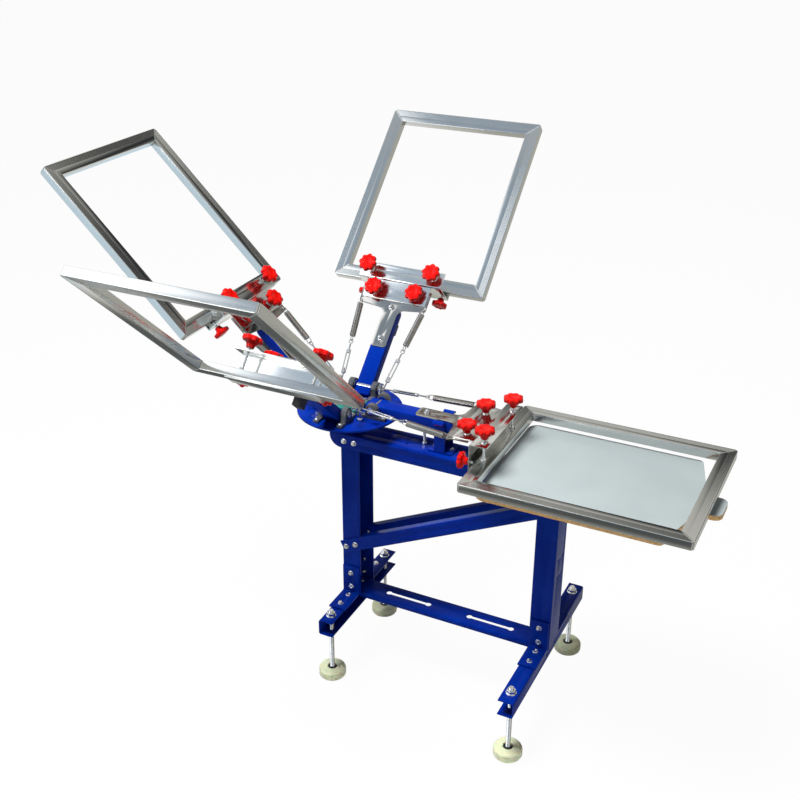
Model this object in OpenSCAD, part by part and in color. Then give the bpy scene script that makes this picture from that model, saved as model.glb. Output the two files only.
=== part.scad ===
// Floor-standing carousel screen printing press: four sprung print heads over one pallet.
// Millimetres, +Z up. +X runs along the beam from the carousel to the pallet.
// The layout is worked out around the carousel axis, then shifted so that the origin is the
// centre of the outer box on the floor.

/* [Stand] */
// Distance between the two uprights, centre to centre
post_pitch = 600; // [500:5:750]
// Distance from the carousel axis to the centre of the rear upright
post_offset = 20; // [10:1:30]
// Thickness of the folded sheet steel
sheet = 3; // [2.5:0.5:4]
// Outer radius of the folds
fold_r = 6; // [4.5:0.5:7]
// Width of an upright across its web
post_w = 88; // [80:1:100]
// Depth of an upright's flanges
post_d = 60; // [55:1:66]
// Height of the top of the foot channels above the floor
foot_top = 218; // [200:1:260]
// Width of a foot channel
foot_w = 45; // [42:1:52]
// Height of a foot channel
foot_h = 50; // [45:1:56]
// Length of the rear foot channel
rear_foot_len = 424; // [400:2:480]
// Length of the front foot channel
front_foot_len = 598; // [560:2:660]
// Height of the top of the main beam above the floor
beam_top = 763; // [720:1:800]
// Height of the main beam's sides
beam_h = 46; // [42:1:54]
// Overhang of the beam behind the rear upright
beam_tail = 32; // [24:1:40]
// Radius of the beam's rounded rear corners
beam_tail_r = 36; // [28:1:36]
// Width of the stretcher plate
stretcher_w = 78; // [70:1:80]
// Depth of the stretcher's folded edges
stretcher_h = 15; // [12:1:20]
// Leg width of the diagonal angle braces
brace_leg = 41; // [35:1:45]
// Slope of the diagonal braces in degrees
brace_slope = 25.7; // [22:0.1:28]
// Width of the bent foot brackets
bracket_w = 54; // [48:1:58]
// Length of each leg of the foot brackets
bracket_leg = 96; // [90:1:104]
// Thickness of the foot brackets
bracket_t = 5; // [4:0.5:6]

/* [Levelling feet] */
// Radius of the threaded rod
rod_r = 7; // [6:0.5:8]
// Radius of the nylon pad
pad_r = 41; // [34:1:44]
// Height of the nylon pad
pad_h = 31; // [26:1:36]
// Distance from a rear foot's rod to the centre line
rear_rod_y = 176; // [160:1:182]
// Distance from a front foot's rod to the centre line
front_rod_y = 257; // [240:1:264]

/* [Carousel] */
// Radius of the round carousel plate
disc_r = 151; // [146:1:160]
// Thickness of the carousel plate
disc_t = 6; // [5:0.5:8]
// Height of the top of the carousel plate above the floor
disc_top = 828; // [815:1:840]
// Radius of the fixed centre shaft
shaft_r = 10; // [9:0.5:11]
// Distance from the carousel axis to each lift hinge
hinge_reach = 90; // [88:1:96]
// Height of the lift hinges above the carousel plate
hinge_rise = 27; // [26:1:30]
// Distance from the carousel axis to a spring anchor along X and along Y
anchor_reach = 67; // [64:1:70]

/* [Print heads] */
// Angle of a raised print head in degrees
raise_deg = 44; // [36:0.5:46]
// Angle of the raised head next to the operator, whose springs are set softer
near_raise_deg = 43; // [36:0.5:46]
// Width of the arm tube
arm_w = 50; // [46:1:52]
// Depth of the arm tube
arm_h = 32; // [28:1:33]
// Height of the arm's top face above its hinge
arm_rise = 6; // [5:0.5:8]
// Distance from the hinge to the tip of the arm
arm_reach = 265; // [255:1:270]
// Thickness of the steel head plates
plate_t = 3; // [2.5:0.5:4]
// Distance from the eyelets for the springs to the back wall of the clamp channel
ear_back = 68; // [64:1:74]
// Distance from the arm's centre line to an eyelet
ear_side = 103; // [96:1:108]
// Distance from the hinge to the back wall of the clamp channel
jaw_reach = 332; // [320:1:340]
// Length of the clamp channel across the arm
jaw_len = 268; // [240:2:280]
// Depth of the clamp channel along the arm
jaw_d = 50; // [46:1:54]
// Height of the clamp channel's top above the hinge
jaw_rise = 18; // [15:1:24]
// Travel of a clamping screw when it is released
clamp_travel = 12; // [6:1:14]
// Travel of the head's fine adjustment each way from the middle
fine_travel = 4; // [2:1:5]

/* [Screen frames] */
// Length of a screen frame along the arm
frame_len = 600; // [560:5:620]
// Width of a screen frame across the arm
frame_w = 497; // [460:1:500]
// Width of the frame's aluminium tube
rail_w = 40; // [32:1:42]
// Height of the frame's aluminium tube
rail_h = 24; // [20:1:26]
// Wall of the frame's aluminium tube
rail_wall = 2; // [1.5:0.5:3]
// Depth of the frame's top face below the hinge
frame_drop = 36; // [32:1:40]

/* [Pallet] */
// Width of the pallet board
pallet_w = 436; // [400:2:450]
// Length of the board's wide part
pallet_len = 492; // [450:2:500]
// Thickness of the board
pallet_t = 13; // [11:1:14]
// Thickness of the white laminate on the board
laminate_t = 1; // [0.8:0.1:1.5]
// Width of the tongue at the board's front end
tongue_w = 94; // [80:1:110]
// Length of the tongue beyond the wide part
tongue_len = 100; // [80:1:110]
// Gap between the lowered screen frame and the pallet
off_contact = 14; // [3:0.5:15]

/* [Knobs and springs] */
// Radius of the lobed knobs over their lobes
knob_r = 28; // [22:0.5:29]
// Thickness of a knob's lobed head
knob_t = 17; // [12:0.5:19]
// Size of the side screws' knobs as a share of the others
side_knob_share = 0.85; // [0.7:0.01:1]
// Radius of the screws
screw_r = 4; // [3:0.5:4.5]
// Radius of the spring wire
wire_r = 1.5; // [1.2:0.1:1.6]
// Mean radius of the spring's curls
curl_r = 6.4; // [6:0.1:7]
// Number of curls on each spring
curls = 11; // [8:1:12]

/* [Hidden] */
overrun = 1;
seat = 0.1;
fit_gap = 0.3;
shaft_fit = 0.05;

// Stand
rear_x = post_offset;
front_x = post_offset + post_pitch;
beam_gap = 0.2;
beam_w = post_w + 2*(sheet + beam_gap);
beam_x0 = rear_x - post_d/2 - beam_tail;
beam_x1 = front_x + post_d/2 + sheet;
post_top = beam_top - fold_r;
bolt_r = 4;
bolt_hole_r = 4.3;
bolt_pitch = 32;
brace_z = foot_top + 171;
brace_bolt_pitch = 34;
brace_run_x0 = rear_x - post_d/2;
brace_run_x1 = front_x + post_d/2 - 8*sheet/3;
bracket_bolt_in = 25;
bracket_bolt_pitch = 48;
slot_w = 12;
slot_eye_r = 9;
slot_len = 148;
slot_at_shares = [0.285, 0.725];
accessory_x = 162;
accessory_pitch_y = 37;
accessory_pitch_x = 56;
accessory_r = 3.5;
web_hole_rise = 262;
web_hole_z = foot_top + web_hole_rise;
foot_hole_y = 32;
lock_nut_r = 13;
lock_nut_h = 12;
lock_flange_r = 15;
lock_flange_h = 2.5;
rod_stub = 20;
pad_socket_r = 15;
pad_socket_d = 5;
pad_edge_r = 9;

// Centre post
pedestal_r = 30;
pedestal_foot_r = 41;
pedestal_foot_h = 10;
pedestal_bolt_ring = 34;
m6_r = 3;
m6_hole_r = 3.3;
shaft_top = disc_top + 34;

// Flange bearing
flange_half = 42;
flange_r = 12;
flange_h = 13;
flange_dome_r = 27;
flange_dome_h = 28;
flange_bolt = 32;

// Carousel and hinges
hinge_z = disc_top + hinge_rise;
hinge_r = 7;
block_y = 37;
block_w = 16;
block_len = 86;
block_foot_h = 9;
block_r = 18.5;
block_bolt = 35;
block_collar_r = 13;
block_collar_t = 2.5;
pin_end = block_y + block_w/2 + 4;
anchor_r = 3;
anchor_nut_r = 8;
anchor_nut_h = 8;
anchor_mid = 35;
anchor_step = 6.5;
anchor_head_r = 7;
anchor_head_t = 4;

// Arm
arm_wall = 2.5;
arm_inner = 28;
arm_end_r = arm_w/2;
arm_boss_r = 11;
block_stop_w = 24;
block_stop_u = 190;
block_stop_len = 35;
block_stop_h = 34;
dome_r = 7.5;
dome_h = 8;
washer_r = 9;
washer_t = 2;

// Head plate and carriage
stem_half = 24;
stem_in = 124;
post_bolt_in = 28;
post_bolt_1 = stem_in + post_bolt_in;
stem_corner = 8;
fillet_r = 22;
ear_reach = jaw_reach - ear_back;
cross_in = ear_reach - 16;
ear_in = ear_reach - 10;
cross_out = jaw_reach - 14;
post_bolt_2 = cross_in + 5;
cross_half = 109;
ear_corner = 6;
ear_hole_r = 4;
tongue_in = jaw_reach - 59;
tongue_half = 102;
tongue_gap = 0.2;
knob_screw_u = jaw_reach - 34;
knob_screw_v = 66;
stem_slot_len = 20;
weld_nut_r = 7.5;
weld_nut_h = 6;
plate_screw_len = 2*plate_t + weld_nut_h + 5;
plate_knob_rise = washer_t;

// Clamp channel
jaw_t = 3;
jaw_fold_r = 5;
jaw_low = frame_drop + rail_h + fit_gap + jaw_t;
jaw_h = jaw_rise + jaw_low;
clamp_u = jaw_reach + 31;
clamp_v = 103;
swivel_r = 9;
swivel_h = 6;
clamp_nut_r = 10;
clamp_nut_h = 7;
side_v = 122;
side_w = -(frame_drop + screw_r);
side_travel = 5;
ear_plate_w = 26;
ear_plate_t = 3;

// Frame
frame_u0 = jaw_reach + 16;
weld_cut = 6;
vent_r = 2.5;

// Knob
lobe_count = 8;
lobe_r = 7;
knob_core_r = knob_r - 4;
knob_hub_r = 10.5;
knob_hub_h = 15;
knob_neck_share = 0.72;
knob_dome_t = 3;
knob_rise = 10;

// Spring set, measured along its own line from the anchor
loop_r = 7.2;
anchor_top = anchor_mid + anchor_step + loop_r + 3;
loop_wire = 2;
eye_r = 6;
eye_wire = 1.6;
body_from = 35;
body_to = 112;
body_half = 6;
body_bar_w = 3;
body_bar_h = 5;
body_boss_r = 5;
body_boss_len = 10;
link_at = 138;
ring_link = 2.4;
rings_per_curl = 8;
tube_sides = 6;
coil_margin = 1.2;
plug_r = (curl_r - wire_r)*cos(180/rings_per_curl) - 3*seat;
plug_len = 9;

// Pallet and gate
pallet_top = hinge_z - frame_drop - rail_h - off_contact;
pallet_x0 = hinge_reach + frame_u0 + rail_w - 8;
pallet_low = pallet_top - laminate_t - pallet_t;
pallet_corner = 30;
pallet_front_corner = 16;
tongue_corner = 22;
shoulder_r = 45;
shoulder_in = 72;
tray_len = 250;
tray_w = 150;
gate_u = 203;
gate_x = hinge_reach + gate_u;
gate_t = 4;
gate_len = 32;
gate_clear = 2;
gate_half = arm_w/2 + gate_clear;
gate_base_len = 74;
gate_top = hinge_z + 11;
gate_lip_r = 9;
gate_bolt_x = gate_x - 58;

// Shift that puts the origin at the middle of the outer box
far_u = frame_u0 + frame_len;
tail_reach = hinge_reach + far_u*cos(raise_deg) + (frame_drop + rail_h)*sin(raise_deg);
tip_x = pallet_x0 + pallet_len + tongue_len;
lowered_reach = hinge_reach + far_u;
shift_x = -(max(tip_x, lowered_reach) - tail_reach)/2;

HEADS = ["a", "b", "c", "d"];

// Shared shapes

// A folded channel section, open downwards, with its top face on y = h
module channel_outline(w, h, t, r) {
  difference() {
    union() {
      translate([-w/2 + r, 0]) square([w - 2*r, h]);
      translate([-w/2, 0]) square([w, h - r]);
      for (side = [-1, 1]) translate([side*(w/2 - r), h - r]) circle(r = r, $fn = 48);
    }
    translate([-w/2 + t, -overrun]) square([w - 2*t, h - r + overrun]);
    translate([-w/2 + r, -overrun]) square([w - 2*r, h - t + overrun]);
    for (side = [-1, 1]) translate([side*(w/2 - r), h - r]) circle(r = r - t, $fn = 48);
  }
}

// A rounded rectangle centred on the origin
module rounded_plate(w, d, r) {
  square([w - 2*r, d], center = true);
  square([w, d - 2*r], center = true);
  for (sx = [-1, 1], sy = [-1, 1]) translate([sx*(w/2 - r), sy*(d/2 - r)]) circle(r = r, $fn = 48);
}

// A bolt along +Z: head above zero, a grip of sheet metal below it, and a nut under the grip
module sheet_bolt(grip, r = bolt_r) {
  cylinder(r = 2*r, h = r/2.5, $fn = 40);
  cylinder(r = 1.75*r, h = 1.5*r, $fn = 6);
  translate([0, 0, -grip - 2.2*r]) cylinder(r = r, h = grip + 2.2*r, $fn = 32);
  translate([0, 0, -grip - 1.6*r]) cylinder(r = 1.75*r, h = 1.6*r, $fn = 6);
}

module bore(r, h) cylinder(r = r, h = h, $fn = 40, center = true);

// A wire loop in the XZ plane of its own line
module wire_loop(r, wire) rotate([90, 0, 0]) rotate_extrude($fn = 48)
  translate([r, 0]) circle(r = wire, $fn = 24);

// A lobed knob standing on z = 0: a flared neck under a head with rounded lobes
module knob(share = 1) {
  core = share*knob_core_r;
  head = share*(knob_t - knob_dome_t);
  dome = share*knob_dome_t;
  neck = share*knob_hub_h;
  cylinder(r1 = share*knob_hub_r, r2 = knob_neck_share*core, h = neck + seat, $fn = 64);
  translate([0, 0, neck]) linear_extrude(head) {
    circle(r = core, $fn = 64);
    for (k = [0:lobe_count - 1]) rotate(k*360/lobe_count) translate([share*(knob_r - lobe_r), 0])
      circle(r = share*lobe_r, $fn = 32);
  }
  translate([0, 0, neck + head - seat]) cylinder(r1 = core, r2 = core - 2*dome, h = dome + seat, $fn = 64);
}

// Places the children in the layout whose origin is the carousel axis
module layout() translate([shift_x, 0, 0]) children();

// Places the children in a print head's own space: hinge at the origin, +X along the arm
module head_space(i, lift) layout() rotate(90*i) translate([hinge_reach, 0, hinge_z])
  rotate([0, -lift, 0]) children();

function lift_of(i) = [0, raise_deg, raise_deg, near_raise_deg][i];

// Stand

module upright_shape(x, web_side, holes) {
  difference() {
    translate([x, 0, foot_top]) rotate(web_side > 0 ? -90 : 90) translate([0, -post_d/2, 0])
      linear_extrude(post_top - foot_top) channel_outline(post_w, post_d, sheet, fold_r);
    for (dx = [-1, 1]) translate([x + dx*bolt_pitch/2, 0, beam_top - beam_h/2]) rotate([90, 0, 0])
      bore(bolt_hole_r, post_w + 2*overrun);
    for (dz = [0, 1]) translate([x, 0, foot_top + bracket_bolt_in + dz*bracket_bolt_pitch])
      rotate([90, 0, 0]) bore(bolt_hole_r, post_w + 2*overrun);
    for (at = holes) translate([at[0], 0, at[1]]) rotate([90, 0, 0])
      bore(bolt_hole_r, post_w + 2*overrun);
    if (web_side > 0) for (dy = [-1, 1], dz = [-1, 1])
      translate([x + post_d/2, dy*accessory_pitch_y/2, web_hole_z + dz*accessory_pitch_x/2])
        rotate([0, 90, 0]) bore(accessory_r, 4*sheet);
  }
}

function brace_point(s) = [rear_x + s*cos(brace_slope), brace_z + s*sin(brace_slope)];
brace_end_s = (front_x - rear_x)/cos(brace_slope);
brace_holes_rear = [brace_point(-brace_bolt_pitch/2), brace_point(brace_bolt_pitch/2)];
brace_holes_front = [brace_point(brace_end_s - brace_bolt_pitch/2),
    brace_point(brace_end_s + brace_bolt_pitch/2)];

module rear_upright() color("mediumblue") layout() upright_shape(rear_x, -1, brace_holes_rear);

module front_upright() color("mediumblue") layout() upright_shape(front_x, 1, brace_holes_front);

module foot_channel(x, len, rod_y, web_side) {
  difference() {
    translate([x - web_side*foot_w/2, len/2, foot_top - foot_h/2]) rotate([90, 0, 0])
      linear_extrude(len) rotate(web_side > 0 ? -90 : 90)
        channel_outline(foot_h, foot_w, sheet, fold_r);
    for (side = [-1, 1]) {
      translate([x, side*rod_y, foot_top - foot_h/2]) bore(rod_r + fit_gap, foot_h + 2*overrun);
      for (k = [0, 1])
        translate([x, side*(post_w/2 + bracket_bolt_in + k*bracket_bolt_pitch), foot_top])
          bore(bolt_hole_r, 4*sheet);
      translate([x, side*stretcher_bolt_y, foot_top]) bore(bolt_hole_r, 4*sheet);
      if (web_side > 0) translate([x + foot_w/2, side*foot_hole_y, foot_top - foot_h/2])
        rotate([0, 90, 0]) bore(bolt_hole_r, 4*sheet);
    }
  }
}

stretcher_bolt_y = stretcher_w/4;

module rear_foot_channel() color("mediumblue") layout() foot_channel(rear_x, rear_foot_len, rear_rod_y, -1);

module front_foot_channel() color("mediumblue") layout() foot_channel(front_x, front_foot_len,
    front_rod_y, 1);

// A bent bracket: its fold lies on the X axis, one leg up +Z and one out along -Y
module foot_bracket() {
  difference() {
    translate([-bracket_w/2, 0, 0]) rotate([90, 0, 90]) linear_extrude(bracket_w) difference() {
      union() {
        translate([-bracket_leg, 0]) square([bracket_leg - bracket_t, bracket_t]);
        translate([-bracket_t, bracket_t]) square([bracket_t, bracket_leg - bracket_t]);
        intersection() {
          translate([-2*bracket_t, 0]) square(2*bracket_t);
          translate([-2*bracket_t, 2*bracket_t]) circle(r = 2*bracket_t, $fn = 64);
        }
      }
      translate([-2*bracket_t, 2*bracket_t]) circle(r = bracket_t, $fn = 48);
    }
    for (k = [0, 1]) {
      translate([0, 0, bracket_bolt_in + k*bracket_bolt_pitch]) rotate([90, 0, 0]) bore(bolt_hole_r,
          6*bracket_t);
      translate([0, -bracket_bolt_in - k*bracket_bolt_pitch, 0]) bore(bolt_hole_r, 6*bracket_t);
    }
  }
}

module foot_brackets() color("mediumblue") layout() for (x = [rear_x, front_x], turn = [0, 180])
  translate([x, 0, foot_top]) rotate(turn) translate([0, -post_w/2, 0]) foot_bracket();

stretcher_x0 = rear_x - foot_w/2 + 2*sheet;
stretcher_x1 = front_x + foot_w/2 - 2*sheet;

module dog_bone(x) {
  translate([x, 0]) square([slot_len - 2*slot_eye_r, slot_w], center = true);
  for (side = [-1, 1]) translate([x + side*(slot_len/2 - slot_eye_r), 0]) circle(r = slot_eye_r, $fn = 48);
}

module stretcher() color("mediumblue") layout() {
  run = stretcher_x1 - stretcher_x0;
  side_x0 = rear_x + foot_w/2 + sheet;
  side_x1 = front_x - foot_w/2 - sheet;
  difference() {
    union() {
      intersection() {
        translate([stretcher_x0, 0, foot_top + sheet - stretcher_h]) rotate([90, 0, 90])
          linear_extrude(run) channel_outline(stretcher_w, stretcher_h, sheet, fold_r);
        translate([side_x0, -stretcher_w/2 - overrun, foot_top - stretcher_h])
          cube([side_x1 - side_x0, stretcher_w + 2*overrun, 2*stretcher_h]);
      }
      translate([stretcher_x0, -stretcher_w/2 + fold_r, foot_top])
        cube([run, stretcher_w - 2*fold_r, sheet]);
    }
    for (s = slot_at_shares) translate([0, 0, foot_top - overrun]) linear_extrude(sheet + 2*overrun)
      dog_bone(rear_x + s*post_pitch);
    for (x = [rear_x, front_x], side = [-1, 1]) translate([x, side*stretcher_bolt_y, foot_top])
      bore(bolt_hole_r, 4*sheet);
  }
}

// An angle brace on one side: the upright leg lies on the uprights' flanges, the top leg points inwards
module brace(side) {
  s0 = -post_d/2;
  s1 = brace_end_s + post_d/2 - sheet;
  flat0 = (post_d/2 + brace_leg/2*sin(brace_slope) + sheet)/cos(brace_slope);
  flat1 = brace_end_s - post_d/2/cos(brace_slope) - 2*sheet;
  difference() {
    translate([rear_x, side*post_w/2, brace_z]) rotate([0, -brace_slope, 0]) union() {
      translate([s0, side > 0 ? 0 : -sheet, -brace_leg/2]) cube([s1 - s0, sheet, brace_leg]);
      translate([flat0, side > 0 ? -brace_leg/2 : 0, brace_leg/2 - sheet])
        cube([flat1 - flat0, brace_leg/2, sheet]);
    }
    for (at = concat(brace_holes_rear, brace_holes_front)) translate([at[0], side*post_w/2, at[1]])
      rotate([90, 0, 0]) bore(bolt_hole_r, 6*sheet);
  }
}

module near_brace() color("mediumblue") layout() brace(-1);

module far_brace() color("mediumblue") layout() brace(1);

module main_beam() color("mediumblue") layout() difference() {
  intersection() {
    translate([beam_x0, 0, beam_top - beam_h]) rotate([90, 0, 90])
      linear_extrude(beam_x1 - beam_x0) channel_outline(beam_w, beam_h, sheet, fold_r);
    translate([0, beam_w/2 + overrun, 0]) rotate([90, 0, 0]) linear_extrude(beam_w + 2*overrun) union() {
      translate([beam_x0 + beam_tail_r, beam_top - beam_h - overrun]) square([beam_x1 - beam_x0,
          beam_h + 2*overrun]);
      translate([beam_x0 - overrun, beam_top - beam_h + beam_tail_r]) square([beam_tail_r + 2*overrun,
          beam_h]);
      translate([beam_x0 + beam_tail_r, beam_top - beam_h + beam_tail_r]) circle(r = beam_tail_r, $fn = 96);
    }
  }
  for (x = [rear_x, front_x], dx = [-1, 1]) translate([x + dx*bolt_pitch/2, 0, beam_top - beam_h/2])
    rotate([90, 0, 0]) bore(bolt_hole_r, beam_w + 2*overrun);
  for (dx = [-1, 1], dy = [-1, 1])
    translate([accessory_x + dx*accessory_pitch_x/2, dy*accessory_pitch_y/2, beam_top])
        bore(accessory_r, 4*sheet);
  for (k = [0:3]) rotate(45 + 90*k) translate([pedestal_bolt_ring, 0, beam_top]) bore(m6_hole_r, 4*sheet);
  for (dx = [-1, 1]) translate([gate_x + dx*gate_base_len/3, 0, beam_top]) bore(m6_hole_r, 4*sheet);
  for (dx = [-1, 1], dy = [-1, 1]) translate([tray_x + dx*tray_len/3, dy*beam_bolt_y, beam_top])
      bore(bolt_hole_r, 4*sheet);
  translate([gate_bolt_x, 0, beam_top]) bore(bolt_hole_r, 4*sheet);
}

beam_bolt_y = beam_w/4;
tray_x = front_x;

// All the stand's bolts with their nuts, and the lock nuts of the levelling feet
module frame_bolts() color("silver") layout() {
  for (x = [rear_x, front_x], turn = [0, 180]) translate([x, 0, 0]) rotate(turn) {
    for (dx = [-1, 1]) translate([dx*bolt_pitch/2, -beam_w/2, beam_top - beam_h/2]) rotate([90, 0, 0])
      sheet_bolt(2*sheet + beam_gap);
    for (k = [0, 1]) {
      translate([0, -post_w/2 - bracket_t, foot_top + bracket_bolt_in + k*bracket_bolt_pitch])
        rotate([90, 0, 0]) sheet_bolt(sheet + bracket_t);
      translate([0, -post_w/2 - bracket_bolt_in - k*bracket_bolt_pitch, foot_top + bracket_t])
        sheet_bolt(sheet + bracket_t);
    }
    translate([0, -stretcher_bolt_y, foot_top + sheet]) sheet_bolt(2*sheet);
  }
  for (side = [-1, 1], at = concat(brace_holes_rear, brace_holes_front))
    translate([at[0], side*(post_w/2 + sheet), at[1]]) rotate([-side*90, 0, 0]) sheet_bolt(2*sheet);
  for (k = [0:3]) rotate(45 + 90*k) translate([pedestal_bolt_ring, 0, beam_top + pedestal_foot_h])
    sheet_bolt(pedestal_foot_h + sheet, m6_r);
  for (dx = [-1, 1]) translate([gate_x + dx*gate_base_len/3, 0, beam_top + gate_t])
      sheet_bolt(gate_t + sheet, m6_r);
  for (dx = [-1, 1], dy = [-1, 1]) translate([tray_x + dx*tray_len/3, dy*beam_bolt_y, beam_top + tray_t])
    sheet_bolt(tray_t + sheet, m6_r);
  translate([gate_bolt_x, 0, beam_top]) union() {
    sheet_bolt(sheet);
    cylinder(r = bolt_r, h = hinge_z - arm_h + arm_rise - beam_top - 12*bolt_r/4, $fn = 32);
  }
  for (p = foot_places, up = [0, 1]) translate([p[0], p[1], up > 0 ? foot_top : foot_top - foot_h])
    mirror([0, 0, 1 - up]) difference() {
      union() {
        cylinder(r = lock_flange_r, h = lock_flange_h, $fn = 48);
        cylinder(r = lock_nut_r, h = lock_nut_h, $fn = 6);
      }
      bore(rod_r + shaft_fit, 4*lock_nut_h);
    }
}

foot_places = [[rear_x, -rear_rod_y], [rear_x, rear_rod_y], [front_x, -front_rod_y], [front_x,
    front_rod_y]];

// A threaded rod moulded into a round nylon pad; the pad's side is rounded like a doughnut
module levelling_foot(k) color("beige") layout() translate([foot_places[k][0], foot_places[k][1], 0]) {
  difference() {
    rotate_extrude($fn = 96) {
      square([pad_r - pad_edge_r, pad_h]);
      translate([0, pad_edge_r]) square([pad_r, pad_h - 2*pad_edge_r]);
      for (z = [pad_edge_r, pad_h - pad_edge_r]) translate([pad_r - pad_edge_r, z])
          circle(r = pad_edge_r, $fn = 48);
    }
    translate([0, 0, pad_h]) bore(pad_socket_r, 2*pad_socket_d);
  }
  translate([0, 0, pad_h/2]) cylinder(r = rod_r, h = foot_top + rod_stub - pad_h/2, $fn = 48);
}

// Plate that carries the pallet on the beam
tray_t = pallet_low - beam_top - seat;
module pallet_bracket() color("mediumblue") layout() difference() {
  translate([tray_x, 0, beam_top]) linear_extrude(tray_t) rounded_plate(tray_len, tray_w, 3*fold_r);
  for (dx = [-1, 1], dy = [-1, 1]) translate([tray_x + dx*tray_len/3, dy*beam_bolt_y, beam_top])
    bore(m6_hole_r, 4*tray_t);
}

// Outline of the pallet: square rear corners with a radius, concave front shoulders and a rounded tongue
function arc(cx, cy, r, a0, a1, n) = [for (k = [0:n]) [cx + r*cos(a0 + (a1 - a0)*k/n),
    cy + r*sin(a0 + (a1 - a0)*k/n)]];
pallet_half = concat(
  arc(pallet_corner, pallet_w/2 - pallet_corner, pallet_corner, 180, 90, 10),
  arc(pallet_len - pallet_front_corner, pallet_w/2 - pallet_front_corner, pallet_front_corner, 90, 14, 6),
  arc(pallet_len + shoulder_in, tongue_w/2 + shoulder_r, shoulder_r, 166, 270, 14),
  arc(pallet_len + tongue_len - tongue_corner, tongue_w/2 - tongue_corner, tongue_corner, 90, 0, 8));
pallet_outline = concat(pallet_half, [for (k = [len(pallet_half) - 1:-1:0]) [pallet_half[k][0],
    -pallet_half[k][1]]]);

module pallet_slab(z0, z1) translate([pallet_x0, 0, z0]) linear_extrude(z1 - z0)
  polygon(pallet_outline);

module pallet_board() color("peru") layout() difference() {
  pallet_slab(pallet_low, pallet_top - laminate_t);
  for (dx = [-1, 1], dy = [-1, 1]) translate([tray_x + dx*tray_len/3, dy*beam_bolt_y, pallet_low])
    bore(2.2*m6_r, 5*m6_r);
}

module pallet_laminate() color("white") layout() pallet_slab(pallet_top - laminate_t, pallet_top);

// The fork that centres a lowered arm over the pallet
module registration_gate() color("mediumblue") layout() difference() {
  union() {
    translate([gate_x, 0, beam_top]) linear_extrude(gate_t) rounded_plate(gate_base_len,
        2*gate_half + 2*gate_t, fold_r);
    for (side = [-1, 1]) translate([gate_x, side*(gate_half + gate_t/2), beam_top]) {
      translate([-gate_len/2, -gate_t/2, 0]) cube([gate_len, gate_t, gate_top - gate_lip_r - beam_top]);
      translate([-gate_len/2, side*(gate_lip_r - gate_t/2), gate_top - gate_lip_r - beam_top])
          rotate([0, 90, 0])
        difference() {
          cylinder(r = gate_lip_r, h = gate_len, $fn = 48);
          translate([0, 0, -overrun]) cylinder(r = gate_lip_r - gate_t, h = gate_len + 2*overrun, $fn = 48);
          translate([0, side > 0 ? 0 : -2*gate_lip_r, -overrun]) cube([2*gate_lip_r, 2*gate_lip_r,
              gate_len + 2*overrun]);
        }
    }
  }
  for (dx = [-1, 1]) translate([gate_x + dx*gate_base_len/3, 0, beam_top]) bore(m6_hole_r, 4*gate_t);
}

// A flanged pedestal on the beam with the fixed shaft that the carousel turns on
module centre_post() color("dimgray") layout() difference() {
  union() {
    translate([0, 0, beam_top]) cylinder(r = pedestal_foot_r, h = pedestal_foot_h, $fn = 80);
    translate([0, 0, beam_top]) cylinder(r = pedestal_r, h = disc_top - disc_t - fit_gap - beam_top,
        $fn = 80);
    translate([0, 0, beam_top]) cylinder(r = shaft_r, h = shaft_top - beam_top, $fn = 64);
  }
  for (k = [0:3]) rotate(45 + 90*k) translate([pedestal_bolt_ring, 0, beam_top]) {
    bore(m6_hole_r, 4*pedestal_foot_h);
    translate([0, 0, pedestal_foot_h]) cylinder(r = 2.3*m6_r, h = disc_top, $fn = 40);
  }
}

// Carousel

module carousel_disc() color("mediumblue") layout() translate([0, 0, disc_top - disc_t]) difference() {
  cylinder(r = disc_r, h = disc_t, $fn = 160);
  bore(shaft_r + 2*fit_gap, 4*disc_t);
  for (k = [0:3]) rotate(90*k) {
    translate([flange_bolt, flange_bolt, 0]) bore(bolt_hole_r, 4*disc_t);
    translate([anchor_reach, anchor_reach, 0]) bore(anchor_r + fit_gap, 4*disc_t);
    for (side = [-1, 1], du = [-1, 1]) translate([hinge_reach + du*block_bolt, side*block_y, 0])
      bore(m6_hole_r, 4*disc_t);
  }
}

module flange_bearing() color("seagreen") layout() translate([0, 0, disc_top]) difference() {
  union() {
    linear_extrude(flange_h) rounded_plate(2*flange_half, 2*flange_half, flange_r);
    cylinder(r = flange_dome_r, h = flange_dome_h, $fn = 80);
  }
  bore(shaft_r + shaft_fit, 4*flange_dome_h);
  for (k = [0:3]) rotate(90*k) translate([flange_bolt, flange_bolt, 0]) bore(bolt_hole_r, 4*flange_h);
}

module pillow_block() {
  difference() {
    union() {
      translate([0, 0, -hinge_rise + block_foot_h/2]) cube([block_len, block_w, block_foot_h],
          center = true);
      rotate([90, 0, 0]) cylinder(r = block_r, h = block_w, center = true, $fn = 64);
      translate([0, 0, -hinge_rise/2]) cube([2*block_r, block_w, hinge_rise], center = true);
      rotate([90, 0, 0]) cylinder(r = block_collar_r, h = block_w + 2*block_collar_t, center = true,
          $fn = 48);
    }
    rotate([90, 0, 0]) bore(hinge_r + shaft_fit, 2*block_w);
    for (du = [-1, 1]) translate([du*block_bolt, 0, -hinge_rise]) bore(m6_hole_r, 4*block_foot_h);
  }
}

module pillow_blocks() color("darkgray") for (i = [0:3], side = [-1, 1]) head_space(i, 0)
  translate([0, side*block_y, 0]) pillow_block();

module carousel_bolts() color("silver") {
  for (i = [0:3], side = [-1, 1], du = [-1, 1]) head_space(i, 0)
    translate([du*block_bolt, side*block_y, -hinge_rise + block_foot_h])
        sheet_bolt(block_foot_h + disc_t, m6_r);
  layout() for (k = [0:3]) rotate(90*k) translate([flange_bolt, flange_bolt, disc_top + flange_h])
    sheet_bolt(flange_h + disc_t);
}

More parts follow.
